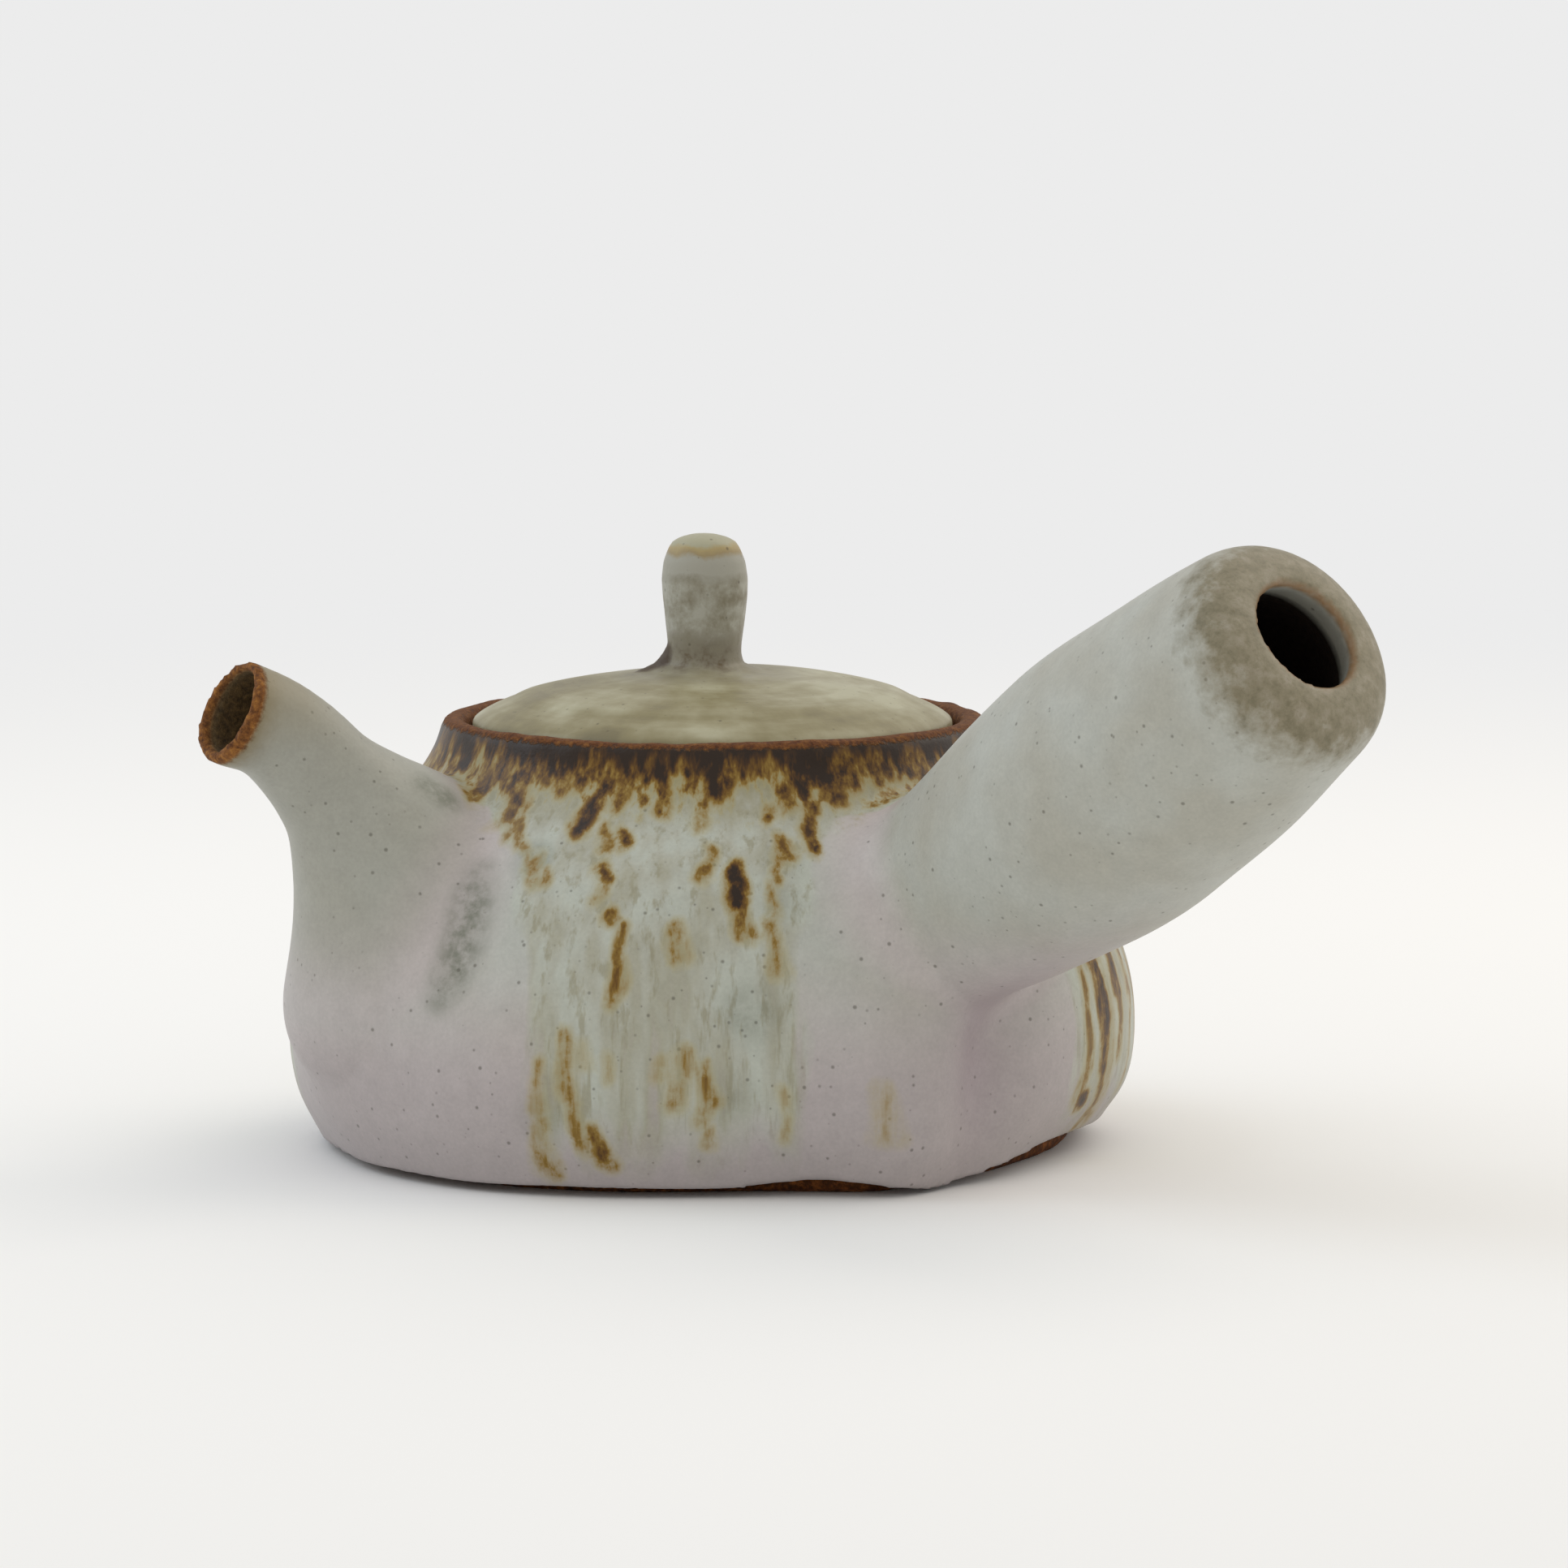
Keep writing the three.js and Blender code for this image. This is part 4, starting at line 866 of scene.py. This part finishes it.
def lid_distance(x, y, z):
    """Distance to the lid and its knob in one."""
    forms = lid_forms(x, y, z)
    body = join(join(forms["cap"], forms["knob"], KNOB_VALLEY), forms["ridge"], RIDGE_VALLEY)
    swell = KNOB_SWELL * uneven(x, y, z, KNOB_SWELL_WIDTH, seed=21)
    body = body + swell * ease(*KNOB_SWELL_HEIGHTS, z)
    reach, azimuth, width = VENT
    azimuth = math.radians(azimuth)
    vent = np.hypot(x - reach * math.cos(azimuth), y - reach * math.sin(azimuth)) - width
    return cut(body, vent, VENT_EDGE)


lid, lid_points = skin("glazed_lid", lid_distance, box_round("lid", "lid_knob"), LID_VOXEL)
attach(lid, "lid")
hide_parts("lid", "lid_knob")
mark(lid, "ridge", ease(0.9, 0.1, lid_forms(*lid_points)["ridge"]))

lid_glaze, add = new_material("ash_glaze_brushed_round")
place = in_millimetres(add)
level = add("SeparateXYZ", place).outputs["Z"]
flat = add("VectorMath", place, (1, 1, 0), operation="MULTIPLY")
radius = add("VectorMath", flat, operation="LENGTH").outputs["Value"]
way = add("VectorMath", flat, operation="NORMALIZE")
way = add("VectorMath", way, (BRUSH_DRAW, BRUSH_DRAW, 0), operation="MULTIPLY")
round_place = add("VectorMath", way, add("CombineXYZ", 0, 0, radius), operation="ADD")
brushed = add("TexNoise", Vector=round_place, Scale=BRUSHING, Detail=2)
patches = add("TexNoise", Vector=place, Scale=PATCH, Detail=4, Roughness=0.55)
mottle = add("TexNoise", Vector=place, Scale=KNOB_MOTTLE, Detail=4, Roughness=0.6)
grain = add("TexNoise", Vector=place, Scale=GRAIN, Detail=2)
# Painted light: the lid is paler towards the side that the warm lamp lights.
toward_lit_side = add("VectorMath", place, LIT_SIDE_WAY, operation="DOT_PRODUCT").outputs["Value"]
painted_light = add("MapRange", toward_lit_side, 0, 26, 0, 0.08)
tone = add("Math", add("Math", brushed, 0.2, operation="MULTIPLY"),
           add("Math", patches, 0.8, operation="MULTIPLY"), operation="ADD")
tone = add("Math", tone, painted_light, operation="ADD")
colour = add("ValToRGB", tone, stops=[
    (0.36, "#787053"), (0.46, "#88805f"), (0.56, "#9b9578"), (0.66, "#aeab91")])
on_knob = add("MapRange", level, 64, 66, 0, 1)
knob_tone = add("ValToRGB", mottle, stops=[(0.36, "#827c69"), (0.5, "#979485"), (0.64, "#aaa99d")])
colour = add("MixRGB", on_knob, colour, knob_tone)
waver = add("Math", add("Math", mottle, 0.5, operation="SUBTRACT"), 2, operation="MULTIPLY")
knob_level = add("Math", level, waver, operation="ADD")
band = add("ValToRGB", add("MapRange", knob_level, 76, 83, 0, 1), stops=[
    (0.2, "#878475"), (0.36, "#a19f93"), (0.64, "#a09e92"), (0.74, "#978764"), (0.84, "#a59468"),
    (0.92, "#a5a289")])
colour = add("MixRGB", add("MapRange", knob_level, 77, 78.5, 0, 1), colour, band)
low = add("MapRange", knob_level, 71.5, 67.5, 0, 1)
low = add("Math", low, on_knob, operation="MULTIPLY")
low = add("Math", low, add("MapRange", mottle, 0.4, 0.6, 0.1, 0.9), operation="MULTIPLY")
colour = add("MixRGB", low, colour, linear("#574626"))
specks = speckle(add, place, SPECK_CELL, 0.22, 0.5)
colour = add("MixRGB", add("Math", specks, 0.6, operation="MULTIPLY"), colour, linear("#4d4331"))
ridge = add("Attribute", attribute_name="ridge").outputs["Fac"]
colour = add("MixRGB", add("Math", ridge, 0.85, operation="MULTIPLY"), colour, linear("#3f2b1a"))
above = add("Math", level, add("Math", mottle, 1.5, operation="MULTIPLY"), operation="SUBTRACT")
edge = add("MapRange", above, 55.2, 54.6, 0, 1)
colour = add("MixRGB", edge, colour, linear("#6e4a2c"))
height = add("Math", add("Math", grain, 0.03, operation="MULTIPLY"),
             add("Math", brushed, 0.12, operation="MULTIPLY"), operation="ADD")
roughness = add("MixRGB", edge, (0.42, 0.42, 0.42, 1), (0.8, 0.8, 0.8, 1))
finish_material(add, colour, roughness, height)
lid.data.materials.append(lid_glaze)

# The table and the light
# The pot stands on a wide sheet of matt white paper, which takes its soft shadow and fades
# into the white room. A cool soft lamp stands at its left and a warm one behind at its right.

# These five are in metres.
SHEET_RADIUS = 2.5
FADE = (0.22, 0.8)  # distances from the middle between which the sheet fades
LAMP_WIDTH = 0.9
LIT_POINT = (0, 0, 0.03)
CAMERA_PLACE = (-0.54153, -0.95752, 0.176)

# Place in metres, power in watts and colour of each lamp.
LAMPS = {
    "cool_lamp": ((-0.66, 0.5, 0.75), 3, (0.72, 0.85, 1)),
    "warm_lamp": ((0.8, 0.02, 0.8), 3.4, (1, 0.91, 0.8)),
}
ROOM_LIGHT = 0.77
ROOM_COLOUR = (1, 0.98, 0.95, 1)
BACKDROP = "#ececec"
SHEET_SIDES = 96
LENS = 185.5
SENSOR = 36
CAMERA_DOWN = 6.58  # degrees, as is the next
CAMERA_TURN = -30

camera = bpy.data.objects.new("camera", bpy.data.cameras.new("camera"))
camera.data.lens = LENS
camera.data.sensor_width = SENSOR
camera.location = CAMERA_PLACE
camera.rotation_euler = (math.radians(90 - CAMERA_DOWN), 0, math.radians(CAMERA_TURN))
bpy.context.scene.collection.objects.link(camera)
bpy.context.scene.camera = camera

for name, (place, power, colour) in LAMPS.items():
    lamp = bpy.data.objects.new(name, bpy.data.lights.new(name, "AREA"))
    lamp.data.energy = power
    lamp.data.size = LAMP_WIDTH
    lamp.data.color = colour
    lamp.location = place
    lamp.rotation_euler = (Vector(LIT_POINT) - lamp.location).to_track_quat("-Z", "Y").to_euler()
    bpy.context.scene.collection.objects.link(lamp)

world = bpy.data.worlds.new("white_room")
bpy.context.scene.world = world
world.use_nodes = True
add = node_adder(world.node_tree)
lit_room = add("Background", Color=ROOM_COLOUR, Strength=ROOM_LIGHT)
seen_room = add("Background", Color=linear(BACKDROP))
path = add("LightPath")
add("OutputWorld", add("MixShader", path.outputs["Is Camera Ray"], lit_room, seen_room))

corner = np.linspace(0, 2 * math.pi, SHEET_SIDES, endpoint=False)
mesh = bpy.data.meshes.new("white_sheet")
rim = np.stack([SHEET_RADIUS * np.cos(corner), SHEET_RADIUS * np.sin(corner), 0 * corner], 1)
mesh.from_pydata(rim.tolist(), [], [list(range(len(rim)))])
sheet = bpy.data.objects.new("white_sheet", mesh)
bpy.context.scene.collection.objects.link(sheet)
paper, add = new_material("white_paper_sheet")
place = add("TexCoord").outputs["Object"]
away = add("VectorMath", place, operation="LENGTH").outputs["Value"]
far = add("MapRange", away, *FADE, 0, 1, interpolation_type="SMOOTHSTEP")
path = add("LightPath")
far = add("Math", far, path.outputs["Is Camera Ray"], operation="MULTIPLY")
near_paper = add("BsdfDiffuse", Color=linear("#f4f4f3"))
far_paper = add("Emission", Color=linear(BACKDROP))
add("OutputMaterial", add("MixShader", far, near_paper, far_paper))
mesh.materials.append(paper)

bpy.context.scene.view_settings.view_transform = "Standard"
